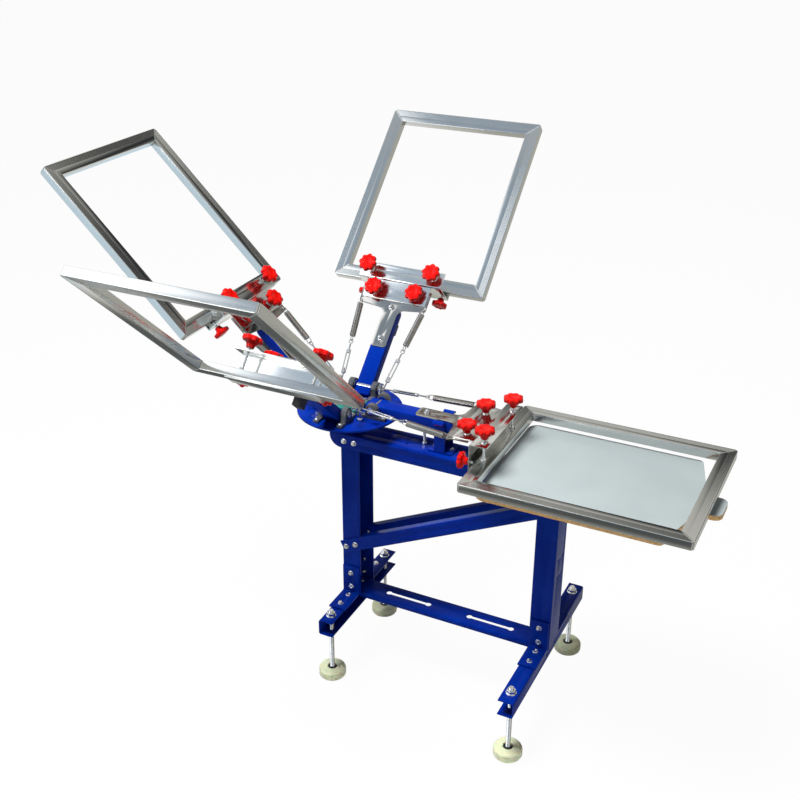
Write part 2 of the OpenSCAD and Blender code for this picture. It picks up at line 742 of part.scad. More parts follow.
// Upright pins that the spring sets hook over, each shared by two neighbouring heads
module spring_anchors() color("silver") layout() for (k = [0:3]) rotate(90*k)
  translate([anchor_reach, anchor_reach, disc_top]) {
    cylinder(r = anchor_nut_r, h = anchor_nut_h, $fn = 6);
    translate([0, 0, -disc_t - anchor_nut_h]) cylinder(r = anchor_r,
        h = disc_t + anchor_nut_h + anchor_top, $fn = 32);
    translate([0, 0, -disc_t - anchor_nut_h]) cylinder(r = anchor_nut_r, h = anchor_nut_h, $fn = 6);
    translate([0, 0, anchor_top]) cylinder(r = anchor_head_r, h = anchor_head_t, $fn = 40);
  }

// Print heads

arm_low = arm_rise - arm_h;

module arm_plan(inset) {
  translate([-arm_inner, -arm_w/2 + inset]) square([arm_inner + arm_reach - arm_end_r, arm_w - 2*inset]);
  translate([arm_reach - arm_end_r, 0]) circle(r = arm_end_r - inset, $fn = 80);
}

// Arm tube with a closed round end, a welded cross pin for the hinge and a block that seats in the gate
module arm(i) color("mediumblue") head_space(i, lift_of(i)) {
  difference() {
    union() {
      translate([0, 0, arm_low]) linear_extrude(arm_h) arm_plan(0);
    }
    translate([-overrun, 0, arm_low + arm_wall]) linear_extrude(arm_h - 2*arm_wall) arm_plan(arm_wall);
    translate([0, arm_w/2 + overrun, 0]) rotate([90, 0, 0]) linear_extrude(arm_w + 2*overrun)
      polygon([[-arm_inner - overrun, arm_low - overrun], [-arm_inner - overrun, -arm_h/5 - overrun],
        [-arm_inner, -arm_h/5], [-arm_inner/5, arm_low], [-arm_inner/5, arm_low - overrun]]);
    for (u = [post_bolt_1, post_bolt_2]) translate([u, 0, arm_rise]) bore(bolt_hole_r, 4*arm_wall);
  }
  rotate([90, 0, 0]) cylinder(r = hinge_r, h = 2*pin_end, center = true, $fn = 48);
  rotate([90, 0, 0]) cylinder(r = arm_boss_r, h = arm_w - 2*arm_wall + seat, center = true, $fn = 48);
  translate([block_stop_u, -block_stop_w/2, arm_low - block_stop_h - seat]) cube([block_stop_len,
      block_stop_w, block_stop_h]);
}

function fillet_arc(cx, cy, side) = [for (k = [0:8]) [cx + fillet_r*cos(side*(k*90/8) - side*90),
    cy + side*fillet_r*sin(k*90/8 - 90)]];

module head_plate_outline() {
  half = concat([[stem_in, stem_half - stem_corner]],
    arc(stem_in + stem_corner, stem_half - stem_corner, stem_corner, 180, 90, 4),
    arc(cross_in - fillet_r, stem_half + fillet_r, fillet_r, 270, 360, 8),
    [[ear_in, cross_half - ear_corner]],
    arc(ear_in + ear_corner, cross_half - ear_corner, ear_corner, 180, 90, 4),
    [[cross_out, cross_half]]);
  polygon(concat(half, [for (k = [len(half) - 1:-1:0]) [half[k][0], -half[k][1]]]));
}

module stem_slot(u, len, r) {
  translate([u, 0]) square([len - 2*r, 2*r], center = true);
  for (side = [-1, 1]) translate([u + side*(len/2 - r), 0]) circle(r = r, $fn = 32);
}

// T-shaped steel plate on the arm, with its two dome-headed bolts
module head_plate(i) color("lightsteelblue") head_space(i, lift_of(i)) {
  difference() {
    union() {
      translate([0, 0, arm_rise]) linear_extrude(plate_t) difference() {
        head_plate_outline();
        for (u = [post_bolt_1, post_bolt_2]) stem_slot(u, stem_slot_len, bolt_hole_r);
      }
      for (side = [-1, 1]) translate([knob_screw_u, side*knob_screw_v, arm_rise - weld_nut_h])
        cylinder(r = weld_nut_r, h = weld_nut_h + plate_t/2, $fn = 6);
    }
    for (side = [-1, 1]) {
      translate([ear_reach, side*ear_side, arm_rise]) bore(ear_hole_r, 4*plate_t);
      translate([knob_screw_u, side*knob_screw_v, arm_rise]) bore(screw_r + shaft_fit, 6*plate_t);
    }
  }
  for (u = [post_bolt_1, post_bolt_2]) translate([u, 0, arm_rise + plate_t + seat]) {
    cylinder(r = washer_r, h = washer_t, $fn = 40);
    cylinder(r = dome_r, h = washer_t + dome_h, $fn = 6);
    intersection() {
      translate([0, 0, washer_t + dome_h]) sphere(r = 0.82*dome_r, $fn = 40);
      translate([-dome_r, -dome_r, washer_t]) cube(2*dome_r + dome_h);
    }
    translate([0, 0, -plate_t - arm_wall - 2*seat - 5]) cylinder(r = bolt_r,
        h = plate_t + arm_wall + 2*seat + 5, $fn = 32);
    translate([0, 0, -plate_t - arm_wall - 2*seat - 5]) cylinder(r = dome_r, h = 5, $fn = 6);
  }
}

// Steel channel that holds the screen frame, welded to the sliding plate on the T plate
module clamp_channel(i) color("silver") head_space(i, lift_of(i)) difference() {
  union() {
    translate([jaw_reach, jaw_len/2, (jaw_rise - jaw_low)/2]) rotate([90, 0, 0]) linear_extrude(jaw_len)
      rotate(-90) mirror([0, 1]) translate([0, -jaw_d]) channel_outline(jaw_h, jaw_d, jaw_t, jaw_fold_r);
    translate([tongue_in, -tongue_half, arm_rise + plate_t + tongue_gap])
      cube([jaw_reach + jaw_t/2 - tongue_in, 2*tongue_half, plate_t]);
  }
  for (side = [-1, 1]) {
    translate([knob_screw_u, side*knob_screw_v, arm_rise + plate_t]) linear_extrude(4*plate_t)
      stem_slot(0, 2*(screw_r + fit_gap + fine_travel), screw_r + fit_gap);
    translate([clamp_u, side*clamp_v, jaw_rise]) bore(screw_r + shaft_fit, 4*jaw_t);
    translate([jaw_reach, side*side_v, side_w]) rotate([0, 90, 0]) bore(screw_r + shaft_fit, 4*jaw_t);
  }
}

// Welded aluminium tube frame with chamfered corners; the tube is hollow
module screen_frame(i) color("gainsboro") head_space(i, lift_of(i)) translate([frame_u0, 0,
    -frame_drop - rail_h])
  difference() {
    linear_extrude(rail_h) difference() {
      polygon([[weld_cut, -frame_w/2], [frame_len - weld_cut, -frame_w/2], [frame_len,
          -frame_w/2 + weld_cut],
        [frame_len, frame_w/2 - weld_cut], [frame_len - weld_cut, frame_w/2], [weld_cut, frame_w/2],
        [0, frame_w/2 - weld_cut], [0, -frame_w/2 + weld_cut]]);
      translate([rail_w, -frame_w/2 + rail_w]) square([frame_len - 2*rail_w, frame_w - 2*rail_w]);
    }
    translate([0, 0, rail_wall]) linear_extrude(rail_h - 2*rail_wall) difference() {
      translate([rail_wall + weld_cut/2, -frame_w/2 + rail_wall + weld_cut/2])
        square([frame_len - 2*rail_wall - weld_cut, frame_w - 2*rail_wall - weld_cut]);
      translate([rail_w - rail_wall, -frame_w/2 + rail_w - rail_wall])
        square([frame_len - 2*rail_w + 2*rail_wall, frame_w - 2*rail_w + 2*rail_wall]);
    }
    translate([frame_len - rail_w, 0, rail_h/2]) rotate([0, 90, 0]) bore(vent_r, 4*rail_wall);
  }

// Two long screws with lobed knobs and swivel pads that press on the frame
module clamp_screws(i) color("red") head_space(i, lift_of(i)) for (side = [-1, 1]) translate([clamp_u,
    side*clamp_v, 0]) {
  translate([0, 0, jaw_rise + knob_rise]) knob();
  translate([0, 0, -frame_drop + seat + swivel_h/2]) cylinder(r = screw_r,
      h = jaw_rise + knob_rise + frame_drop - seat - swivel_h/2 + overrun, $fn = 40);
  translate([0, 0, -frame_drop + seat]) cylinder(r = swivel_r, h = swivel_h, $fn = 40);
  translate([0, 0, jaw_rise + seat]) cylinder(r = clamp_nut_r, h = washer_t, $fn = 40);
}

// Two knobs on studs through the T plate that hold the sliding plate
module plate_knobs(i) color("red") head_space(i, lift_of(i)) for (side = [-1, 1])
  translate([knob_screw_u, side*knob_screw_v, arm_rise + 2*plate_t + tongue_gap + seat]) {
    cylinder(r = washer_r, h = washer_t, $fn = 40);
    translate([0, 0, plate_knob_rise]) knob();
    translate([0, 0, -plate_screw_len]) cylinder(r = screw_r,
        h = plate_screw_len + plate_knob_rise + overrun, $fn = 40);
  }

// Two screws through the channel's back wall that push the frame square
module side_screws(i) color("red") head_space(i, lift_of(i)) for (side = [-1, 1])
  translate([jaw_reach, side*side_v, side_w]) rotate([0, -90, 0]) {
    translate([0, 0, side_travel]) knob(side_knob_share);
    translate([0, 0, -(frame_u0 - jaw_reach) + seat]) cylinder(r = screw_r,
        h = frame_u0 - jaw_reach + side_travel + overrun, $fn = 40);
  }

// Spring sets

function anchor_w(i) = anchor_mid - hinge_rise + (i % 2 == 0 ? anchor_step : -anchor_step);
// Eyelet and anchor in the plane of the arm, with the head lifted by a
function ear_point(a) = [hinge_reach + ear_reach*cos(a) - ear_w*sin(a), ear_reach*sin(a) + ear_w*cos(a)];
ear_w = arm_rise + plate_t/2;
function set_vector(i, a) = [ear_point(a)[0] - anchor_reach, ear_point(a)[1] - anchor_w(i)];
function set_angle(i, a) = atan2(set_vector(i, a)[1], set_vector(i, a)[0]);
function set_length(i, a) = sqrt(pow(norm(set_vector(i, a)), 2) + pow(ear_side - anchor_reach, 2));
function set_splay(i, a) = atan2(ear_side - anchor_reach, norm(set_vector(i, a)));

// Places the children on one spring's line: anchor at the origin, +X towards the eyelet
module spring_line(i, side) layout() rotate(90*i) translate([anchor_reach, side*anchor_reach,
    hinge_z + anchor_w(i)])
  rotate([0, -set_angle(i, lift_of(i)), 0]) rotate(side*set_splay(i, lift_of(i))) children();

module turnbuckle() {
  rotate([90, 0, 0]) wire_loop(loop_r, loop_wire);
  translate([loop_r, 0, 0]) rotate([0, 90, 0]) cylinder(r = loop_wire,
      h = body_from - loop_r + overrun, $fn = 32);
  for (end = [body_from, body_to - body_boss_len]) translate([end, 0, 0]) rotate([0, 90, 0])
    cylinder(r = body_boss_r, h = body_boss_len, $fn = 40);
  for (side = [-1, 1]) translate([body_from, side*body_half - body_bar_w/2, -body_bar_h/2])
    cube([body_to - body_from, body_bar_w, body_bar_h]);
  for (end = [body_from, body_to - body_boss_len]) translate([end, -body_half, -body_bar_h/2])
    cube([body_boss_len, 2*body_half, body_bar_h]);
  translate([body_to - overrun, 0, 0]) rotate([0, 90, 0])
    cylinder(r = loop_wire, h = link_at - eye_r - body_to + overrun, $fn = 32);
  translate([link_at, 0, 0]) rotate([90, 0, 0]) wire_loop(eye_r, eye_wire);
}

module turnbuckles(i) color("silver") for (side = [-1, 1]) spring_line(i, side) turnbuckle();

// The curls as one unbroken tube: straight for a tube's width at each end, then a helix between
hook_from = link_at + ring_link + curl_r;
coil_from = hook_from + curl_r + 2*wire_r + coil_margin;
function coil_to(i, a) = set_length(i, a) - 2*curl_r - 2*wire_r - coil_margin;
function coil_pitch(i, a) = (coil_to(i, a) - coil_from)/curls;
function coil_point(t, x0, pitch) = [x0 + pitch*t/360, curl_r*cos(t), curl_r*sin(t)];
function coil_points(x0, pitch) = [for (k = [0:curls*rings_per_curl]) coil_point(k*360/rings_per_curl,
    x0, pitch)];
function coil_way(t, pitch) = let (d = [pitch/(2*PI), -curl_r*sin(t), curl_r*cos(t)]) d/norm(d);
function coil_ring(c, t, pitch) = let (out = [0, cos(t), sin(t)], up = cross(coil_way(t, pitch), out))
  [for (j = [0:tube_sides - 1]) c + wire_r*(cos(j*360/tube_sides)*out + sin(j*360/tube_sides)*up)];
function coil_gap(points) = min([for (k = [0:len(points) - rings_per_curl/2 - 1],
  m = [k + rings_per_curl/2:min(len(points) - 1, k + 2*rings_per_curl)])
      norm(points[m] - points[k])]) - 2*wire_r;

module coil(x0, pitch) {
  points = coil_points(x0, pitch);
  last = curls*360;
  rings = concat([coil_ring(points[0] - 2*wire_r*coil_way(0, pitch), 0, pitch)],
    [for (k = [0:len(points) - 1]) coil_ring(points[k], k*360/rings_per_curl, pitch)],
    [coil_ring(points[len(points) - 1] + 2*wire_r*coil_way(last, pitch), last, pitch)]);
  n = len(rings);
  polyhedron(
    points = [for (ring = rings, p = ring) p],
    faces = concat(
      [[for (j = [0:tube_sides - 1]) j]],
      [for (k = [0:n - 2], j = [0:tube_sides - 1]) [k*tube_sides + j, (k + 1)*tube_sides + j,
          (k + 1)*tube_sides + (j + 1)%tube_sides]],
      [for (k = [0:n - 2], j = [0:tube_sides - 1]) [k*tube_sides + j,
          (k + 1)*tube_sides + (j + 1)%tube_sides, k*tube_sides + (j + 1)%tube_sides]],
      [[for (j = [tube_sides - 1:-1:0]) (n - 1)*tube_sides + j]]));
}

// An end hook: a wire loop with a plug that the first curl is wound on
module spring_hook() {
  translate([hook_from, 0, 0]) wire_loop(curl_r, wire_r);
  translate([hook_from + curl_r, 0, 0]) rotate([0, 90, 0]) cylinder(r = wire_r,
      h = coil_from - hook_from - curl_r, $fn = 32);
  translate([coil_from - overrun, 0, 0]) rotate([0, 90, 0]) cylinder(r = plug_r, h = plug_len, $fn = 40);
}

module springs(i) color("gray") for (side = [-1, 1]) spring_line(i, side) {
  coil(coil_from, coil_pitch(i, lift_of(i)));
  spring_hook();
  translate([set_length(i, lift_of(i)), 0, 0]) mirror([1, 0, 0]) translate([-hook_from + curl_r, 0, 0])
      spring_hook();
}

for (i = [0, 1, 3]) echo(least_gap_between_curls_mm = coil_gap(coil_points(coil_from, coil_pitch(i,
    lift_of(i)))));

rear_upright();
front_upright();
rear_foot_channel();
front_foot_channel();
foot_brackets();
stretcher();
near_brace();
far_brace();
main_beam();
frame_bolts();
pallet_bracket();
pallet_board();
pallet_laminate();
registration_gate();
centre_post();
levelling_foot(0);  // levelling_foot_1
levelling_foot(1);  // levelling_foot_2
levelling_foot(2);  // levelling_foot_3
levelling_foot(3);  // levelling_foot_4
carousel_disc();
flange_bearing();
pillow_blocks();
carousel_bolts();
spring_anchors();
arm(0);  // arm_a
arm(1);  // arm_b
arm(2);  // arm_c
arm(3);  // arm_d
head_plate(0);  // head_plate_a
head_plate(1);  // head_plate_b
head_plate(2);  // head_plate_c
head_plate(3);  // head_plate_d
clamp_channel(0);  // clamp_channel_a
clamp_channel(1);  // clamp_channel_b
clamp_channel(2);  // clamp_channel_c
clamp_channel(3);  // clamp_channel_d
screen_frame(0);  // screen_frame_a
screen_frame(1);  // screen_frame_b
screen_frame(2);  // screen_frame_c
screen_frame(3);  // screen_frame_d
clamp_screws(0);  // clamp_screws_a
clamp_screws(1);  // clamp_screws_b
clamp_screws(2);  // clamp_screws_c
clamp_screws(3);  // clamp_screws_d
plate_knobs(0);  // plate_knobs_a
plate_knobs(1);  // plate_knobs_b
plate_knobs(2);  // plate_knobs_c
plate_knobs(3);  // plate_knobs_d
side_screws(0);  // side_screws_a
side_screws(1);  // side_screws_b
side_screws(2);  // side_screws_c
side_screws(3);  // side_screws_d
turnbuckles(0);  // turnbuckles_a
turnbuckles(1);  // turnbuckles_b
turnbuckles(2);  // turnbuckles_c
turnbuckles(3);  // turnbuckles_d
springs(0);  // springs_a
springs(1);  // springs_b
springs(2);  // springs_c
springs(3);  // springs_d
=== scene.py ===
# %% [markdown]
# # A four-head screen printing press
# A blue folded-steel stand carries a turntable with four sprung print heads. One head is down
# over the white pallet and three are up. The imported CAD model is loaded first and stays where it
# is: everything made here is fitted round it, in metres, in the same frame.

# %% Load the frame
import math

import bmesh
import bpy
from mathutils import Matrix, Vector


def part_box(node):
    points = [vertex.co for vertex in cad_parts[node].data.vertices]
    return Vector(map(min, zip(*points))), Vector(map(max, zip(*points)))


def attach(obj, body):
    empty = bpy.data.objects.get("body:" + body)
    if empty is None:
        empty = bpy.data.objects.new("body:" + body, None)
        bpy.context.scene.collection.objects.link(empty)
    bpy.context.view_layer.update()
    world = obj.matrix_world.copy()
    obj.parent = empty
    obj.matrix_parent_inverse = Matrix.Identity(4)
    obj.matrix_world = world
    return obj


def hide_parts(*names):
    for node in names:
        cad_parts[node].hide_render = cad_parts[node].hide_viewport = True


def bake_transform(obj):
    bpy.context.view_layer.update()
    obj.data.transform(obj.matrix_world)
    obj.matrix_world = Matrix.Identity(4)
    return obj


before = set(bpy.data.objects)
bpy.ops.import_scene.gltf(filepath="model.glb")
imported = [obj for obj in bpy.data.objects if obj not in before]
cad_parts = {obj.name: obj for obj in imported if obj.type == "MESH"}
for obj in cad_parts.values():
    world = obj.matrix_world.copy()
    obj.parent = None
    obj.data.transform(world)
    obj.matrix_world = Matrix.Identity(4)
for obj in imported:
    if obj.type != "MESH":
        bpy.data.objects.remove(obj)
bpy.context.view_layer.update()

# %% [markdown]
# ## Places
# The press is laid out round the turntable's axis. A print head is built once in its own space,
# with the hinge at the origin and the arm along +X, and four matrices set the copies in place.

# %% Named places, in metres
MM = 0.001
disc_low, disc_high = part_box("carousel_disc")
AXIS_X, DISC_TOP = (disc_low.x + disc_high.x) / 2, disc_high.z
HINGE_REACH = 90 * MM
HINGE_Z = DISC_TOP + 27 * MM
HEADS = "abcd"
LIFTS = {"a": 0.0, "b": math.radians(44), "c": math.radians(44), "d": math.radians(43)}


def turned(quarter):
    """The turntable's space, turned by quarter turns."""
    return Matrix.Translation((AXIS_X, 0, 0)) @ Matrix.Rotation(math.pi / 2 * quarter, 4, "Z")


def head_place(letter):
    """From a head's own space to the frame."""
    return (turned(HEADS.index(letter)) @ Matrix.Translation((HINGE_REACH, 0, HINGE_Z))
            @ Matrix.Rotation(-LIFTS[letter], 4, "Y"))


print("turntable axis at x =", round(AXIS_X, 4), "hinges at z =", round(HINGE_Z, 4))

# %% [markdown]
# ## Camera
# The photo was matched with one perspective camera, found by fitting about 120 points of the
# press. It stands on the -Y side, turned 27 degrees towards the pallet, and looks down 27 degrees.

# %% Camera
PICTURE_PX, FOCUS_PX = 800, 1144.6
CENTRE_PX = (374.6, 413.6)
SENSOR_MM = 36.0
AZIMUTH, ELEVATION, ROLL = math.radians(27.3), math.radians(27.1), math.radians(-0.4)
AIM, DISTANCE = Vector((AXIS_X + 0.0699, 0.0175, 0.8132)), 3.2576

camera_data = bpy.data.cameras.new("photo_camera")
camera_data.sensor_width = SENSOR_MM
camera_data.lens = FOCUS_PX / PICTURE_PX * SENSOR_MM
camera_data.shift_x = -(CENTRE_PX[0] - PICTURE_PX / 2) / PICTURE_PX
camera_data.shift_y = (CENTRE_PX[1] - PICTURE_PX / 2) / PICTURE_PX
camera_data.clip_end = 50
camera = bpy.data.objects.new("photo_camera", camera_data)
bpy.context.scene.collection.objects.link(camera)
look_back = Vector((math.sin(AZIMUTH) * math.cos(ELEVATION),
                    -math.cos(AZIMUTH) * math.cos(ELEVATION), math.sin(ELEVATION)))
camera.location = AIM + look_back * DISTANCE
camera.rotation_mode = "QUATERNION"
camera.rotation_quaternion = (look_back.to_track_quat("Z", "Y")
                              @ Matrix.Rotation(ROLL, 3, "Z").to_quaternion())
bpy.context.scene.camera = camera
print("camera at", [round(v, 3) for v in camera.location], "lens", round(camera_data.lens, 2))

# %% [markdown]
# ## Light, floor and white background
# The photo is a cut-out on pure white. One large lamp hangs high over the press, a weak one stands
# beyond the pallet and another behind. The world is different for each kind of ray: the camera
# sees white, shiny surfaces see a shaded studio with a strong light and a softbox, and all else
# gets a weak even light. So the background is white without lighting the press.

# %% Node helpers
def node(tree, kind, settings=None, **inputs):
    """Adds a node. Inputs are values or sockets, by name, or by place as i0, i1 and so on."""
    made = tree.nodes.new(kind)
    for key, value in (settings or {}).items():
        setattr(made, key, value)
    for key, value in inputs.items():
        place = int(key[1:]) if key[0] == "i" and key[1:].isdigit() else key.replace("_", " ")
        if isinstance(value, bpy.types.NodeSocket):
            tree.links.new(value, made.inputs[place])
        else:
            made.inputs[place].default_value = value
    return made


def maths(tree, operation, *values):
    """The result of a math node on numbers or sockets."""
    inputs = {f"i{k}": value for k, value in enumerate(values)}
    return node(tree, "ShaderNodeMath", {"operation": operation}, **inputs).outputs[0]


def facing(tree, way, aim):
    """How far a direction faces an aim: 1 straight towards it, -1 straight away."""
    dot = {"operation": "DOT_PRODUCT"}
    return node(tree, "ShaderNodeVectorMath", dot, i0=way, i1=aim).outputs["Value"]


def ranged(tree, value, start, end, low, high):
    """Maps start..end to low..high, and goes no further at either end."""
    return node(tree, "ShaderNodeMapRange", Value=value, From_Min=start, From_Max=end,
                To_Min=low, To_Max=high).outputs[0]


def graded(tree, value, stops):
    """The colour that a list of (place, colour) stops gives for a value."""
    ramp = node(tree, "ShaderNodeValToRGB", Fac=value)
    stops_made = ramp.color_ramp.elements
    for place, colour in stops:
        stop = stops_made[0] if place == 0.0 else stops_made.new(place)
        stop.color = (*colour, 1)
    return ramp.outputs[0]


def blended(tree, share, one, other):
    """One shader, and the other by its share."""
    return node(tree, "ShaderNodeMixShader", i0=share, i1=one, i2=other).outputs[0]


# %% World
WHITE = (1, 1, 1, 1)
EVEN_LIGHT = 0.08
# The strong light's direction, and what a mirror sees from facing away, 0, to facing it, 1.
STRONG_LIGHT = (-0.53, -0.80, 0.27)
STUDIO = ((0.0, (0.42, 0.41, 0.39)), (0.11, (0.38, 0.37, 0.35)), (0.165, (0.022, 0.024, 0.028)),
          (0.20, (0.018, 0.022, 0.026)), (0.27, (0.34, 0.34, 0.32)), (0.33, (0.68, 0.68, 0.64)),
          (0.60, (0.74, 0.75, 0.74)), (0.80, (0.36, 0.44, 0.53)), (0.93, (0.42, 0.51, 0.62)),
          (0.975, (0.60, 0.68, 0.78)), (0.992, (7.0, 7.0, 7.0)))
# The softbox's direction, the cosines where it starts and is full, and its brightness.
SOFTBOX, SOFTBOX_RIM, SOFTBOX_FULL, SOFTBOX_GLOW = (-0.78, -0.26, 0.57), 0.925, 0.97, 1.6

world = bpy.data.worlds.new("white_studio")
bpy.context.scene.world = world
world.use_nodes = True
sky = world.node_tree
sky.nodes.clear()


def backdrop(colour, strength):
    return node(sky, "ShaderNodeBackground", Color=colour, Strength=strength).outputs[0]


way = node(sky, "ShaderNodeTexCoord").outputs["Generated"]
studio = graded(sky, ranged(sky, facing(sky, way, STRONG_LIGHT), -1.0, 1.0, 0.0, 1.0), STUDIO)
softbox = ranged(sky, facing(sky, way, SOFTBOX), SOFTBOX_RIM, SOFTBOX_FULL, 0.0, SOFTBOX_GLOW)
reflected = node(sky, "ShaderNodeVectorMath", {"operation": "ADD"}, i0=studio, i1=softbox)
ray = node(sky, "ShaderNodeLightPath").outputs
lighting = blended(sky, ray["Is Glossy Ray"], backdrop(WHITE, EVEN_LIGHT),
                   backdrop(reflected.outputs[0], 1.0))
shown = blended(sky, ray["Is Camera Ray"], lighting, backdrop(WHITE, 1.0))
node(sky, "ShaderNodeOutputWorld", Surface=shown)

# %% Lamps: name, place, aim, size in metres, watts
LAMPS = (("key", (-0.7, -1.0, 4.9), (0, 0, 0.9), 2.0, 325),
         ("fill", (3.4, -2.2, 2.4), (0, 0, 0.8), 2.6, 8),
         ("rim", (0.5, 3.8, 3.2), (0, 0, 1.0), 2.0, 15))

for name, place, aim, size, power in LAMPS:
    lamp_data = bpy.data.lights.new(name, "AREA")
    lamp_data.shape = "DISK"
    lamp_data.size = size
    lamp_data.energy = power
    lamp = bpy.data.objects.new(name, lamp_data)
    lamp.location = place
    lamp.visible_glossy = False
    lamp.rotation_mode = "QUATERNION"
    lamp.rotation_quaternion = (Vector(place) - Vector(aim)).to_track_quat("Z", "Y")
    bpy.context.scene.collection.objects.link(lamp)
bpy.context.scene.view_settings.view_transform = "Standard"

# %% [markdown]
# The floor takes the press's shadow, and the camera sees it nearly white. Shiny surfaces see it
# graded instead: dim at -Y, bright far out at -X, and dark in one strip there.

# %% Floor
FLOOR_HALF, CAMERA_GLOW = 30, 0.96
FLOOR_TONES = ((0.0, (0.10, 0.11, 0.11)), (0.5, (0.56, 0.56, 0.51)), (1.0, (0.74, 0.92, 1.05)))
FRONT_FADE, FRONT_LEVEL = (-1.45, -0.7), 0.46
SIDE_FADE = (-0.5, -1.3)
STRIP_Y, STRIP_RIM, STRIP_END = 0.1, (0.30, 0.60), (-0.6, -0.2)

corners = [(x * FLOOR_HALF, y * FLOOR_HALF, 0) for x, y in ((-1, -1), (1, -1), (1, 1), (-1, 1))]
floor_mesh = bpy.data.meshes.new("floor")
floor_mesh.from_pydata(corners, [], [(0, 1, 2, 3)])
floor = bpy.data.objects.new("floor", floor_mesh)
bpy.context.scene.collection.objects.link(floor)
floor_paint = bpy.data.materials.new("pale_floor")
floor_paint.use_nodes = True
tree = floor_paint.node_tree
tree.nodes.clear()
ray = node(tree, "ShaderNodeLightPath").outputs
matt = node(tree, "ShaderNodeBsdfDiffuse", Color=(0.82, 0.82, 0.82, 1)).outputs[0]
glow = node(tree, "ShaderNodeEmission", Color=WHITE, Strength=1.0).outputs[0]
plain = blended(tree, maths(tree, "MULTIPLY", ray["Is Camera Ray"], CAMERA_GLOW), matt, glow)
spot = node(tree, "ShaderNodeSeparateXYZ",
            Vector=node(tree, "ShaderNodeTexCoord").outputs["Object"]).outputs
front = ranged(tree, spot["Y"], *FRONT_FADE, 0.0, FRONT_LEVEL)
level = ranged(tree, spot["X"], *SIDE_FADE, front, 1.0)
off_strip = maths(tree, "ABSOLUTE", maths(tree, "SUBTRACT", spot["Y"], STRIP_Y))
beside = ranged(tree, off_strip, *STRIP_RIM, 0.0, 1.0)
before = ranged(tree, spot["X"], *STRIP_END, 0.0, 1.0)
kept = maths(tree, "MAXIMUM", beside, before)
tone = graded(tree, maths(tree, "MULTIPLY", level, kept), FLOOR_TONES)
mirrored = node(tree, "ShaderNodeEmission", Color=tone, Strength=1.0).outputs[0]
shown = blended(tree, ray["Is Glossy Ray"], plain, mirrored)
node(tree, "ShaderNodeOutputMaterial", Surface=shown)
floor_mesh.materials.append(floor_paint)

# %% [markdown]
# ## Finishes
# Every finish is built from nodes. Painted and cast surfaces read Object coordinates. Metal that
# was brushed or rolled in one direction reads an attribute named grain, which each piece stores
# with X along the brushing, so the fine lines follow each rail and plate whichever way it is
# turned.

# %% Finish helpers
# A noise value lies mostly between these two.
NOISE_LOW, NOISE_HIGH = 0.3, 0.7


def finish(name, colour, metallic, roughness, **sockets):
    """A material with its node tree and its shader."""
    made = bpy.data.materials.new(name)
    made.use_nodes = True
    made.diffuse_color = (*colour, 1)
    tree = made.node_tree
    shader = tree.nodes["Principled BSDF"]
    shader.inputs["Base Color"].default_value = (*colour, 1)
    shader.inputs["Metallic"].default_value = metallic
    shader.inputs["Roughness"].default_value = roughness
    for key, value in sockets.items():
        shader.inputs[key.replace("_", " ")].default_value = value
    return made, tree, shader


def spread(tree, value, low, high):
    """Maps a noise value to the range from low to high."""
    return ranged(tree, value, NOISE_LOW, NOISE_HIGH, low, high)


def noise(tree, vector, scale, detail=3.0, rough=0.55):
    return node(tree, "ShaderNodeTexNoise", Vector=vector, Scale=scale, Detail=detail,
                Roughness=rough).outputs[0]


def tinted(tree, value, dark, light):
    """Colours a noise value from dark to light."""
    ramp = node(tree, "ShaderNodeValToRGB", Fac=value)
    low, high = ramp.color_ramp.elements
    low.position, high.position = NOISE_LOW, NOISE_HIGH
    low.color, high.color = (*dark, 1), (*light, 1)
    return ramp.outputs[0]


def bumped(tree, shader, value, strength, depth):
    bump = node(tree, "ShaderNodeBump", Height=value, Strength=strength, Distance=depth)
    tree.links.new(bump.outputs[0], shader.inputs["Normal"])


# %% [markdown]
# The stand is powder coated: an even, deep blue with the faint orange-peel ripple of baked
# powder. Castings get a coarser grain, and plastics a very smooth skin with a slow unevenness in
# the gloss. The bright zinc of the fasteners and the nickel of the springs are made in the same
# way.

# %% Paint, castings, plastics and plating
def skin(name, dark, light, roughness, grain_mm, ripple, metallic=0.0, patch=9.0, **sockets):
    """A coated or moulded surface: slow colour change, uneven gloss and a fine ripple."""
    made, tree, shader = finish(name, light, metallic, roughness[0], **sockets)
    place = node(tree, "ShaderNodeTexCoord").outputs["Object"]
    slow = noise(tree, place, patch)
    fine = noise(tree, place, 1.0 / (grain_mm * MM), 2.0)
    tree.links.new(tinted(tree, slow, dark, light), shader.inputs["Base Color"])
    tree.links.new(spread(tree, fine, *roughness), shader.inputs["Roughness"])
    bumped(tree, shader, fine, ripple, 0.3 * MM)
    return made


COBALT = skin("cobalt_powder_coat", (0.0006, 0.016, 0.24), (0.001, 0.028, 0.31), (0.24, 0.34),
              1.6, 0.10, Specular_IOR_Level=0.05)
TEAL = skin("teal_cast_paint", (0.010, 0.12, 0.11), (0.016, 0.18, 0.155), (0.34, 0.50), 1.2, 0.35)
CAST = skin("grey_cast_iron", (0.075, 0.080, 0.090), (0.14, 0.145, 0.155), (0.30, 0.46), 1.0, 0.35,
            metallic=0.4)
SCARLET = skin("scarlet_knob_plastic", (0.56, 0.002, 0.001), (0.64, 0.004, 0.001), (0.12, 0.18),
               6.0, 0.05, Specular_IOR_Level=0.22)
BLACK = skin("black_moulded_block", (0.010, 0.010, 0.011), (0.020, 0.020, 0.022), (0.42, 0.58),
             0.8, 0.3)
DARK_STEEL = skin("blackened_shaft", (0.030, 0.030, 0.033), (0.055, 0.055, 0.06), (0.30, 0.42),
                  1.5, 0.1, metallic=0.8)
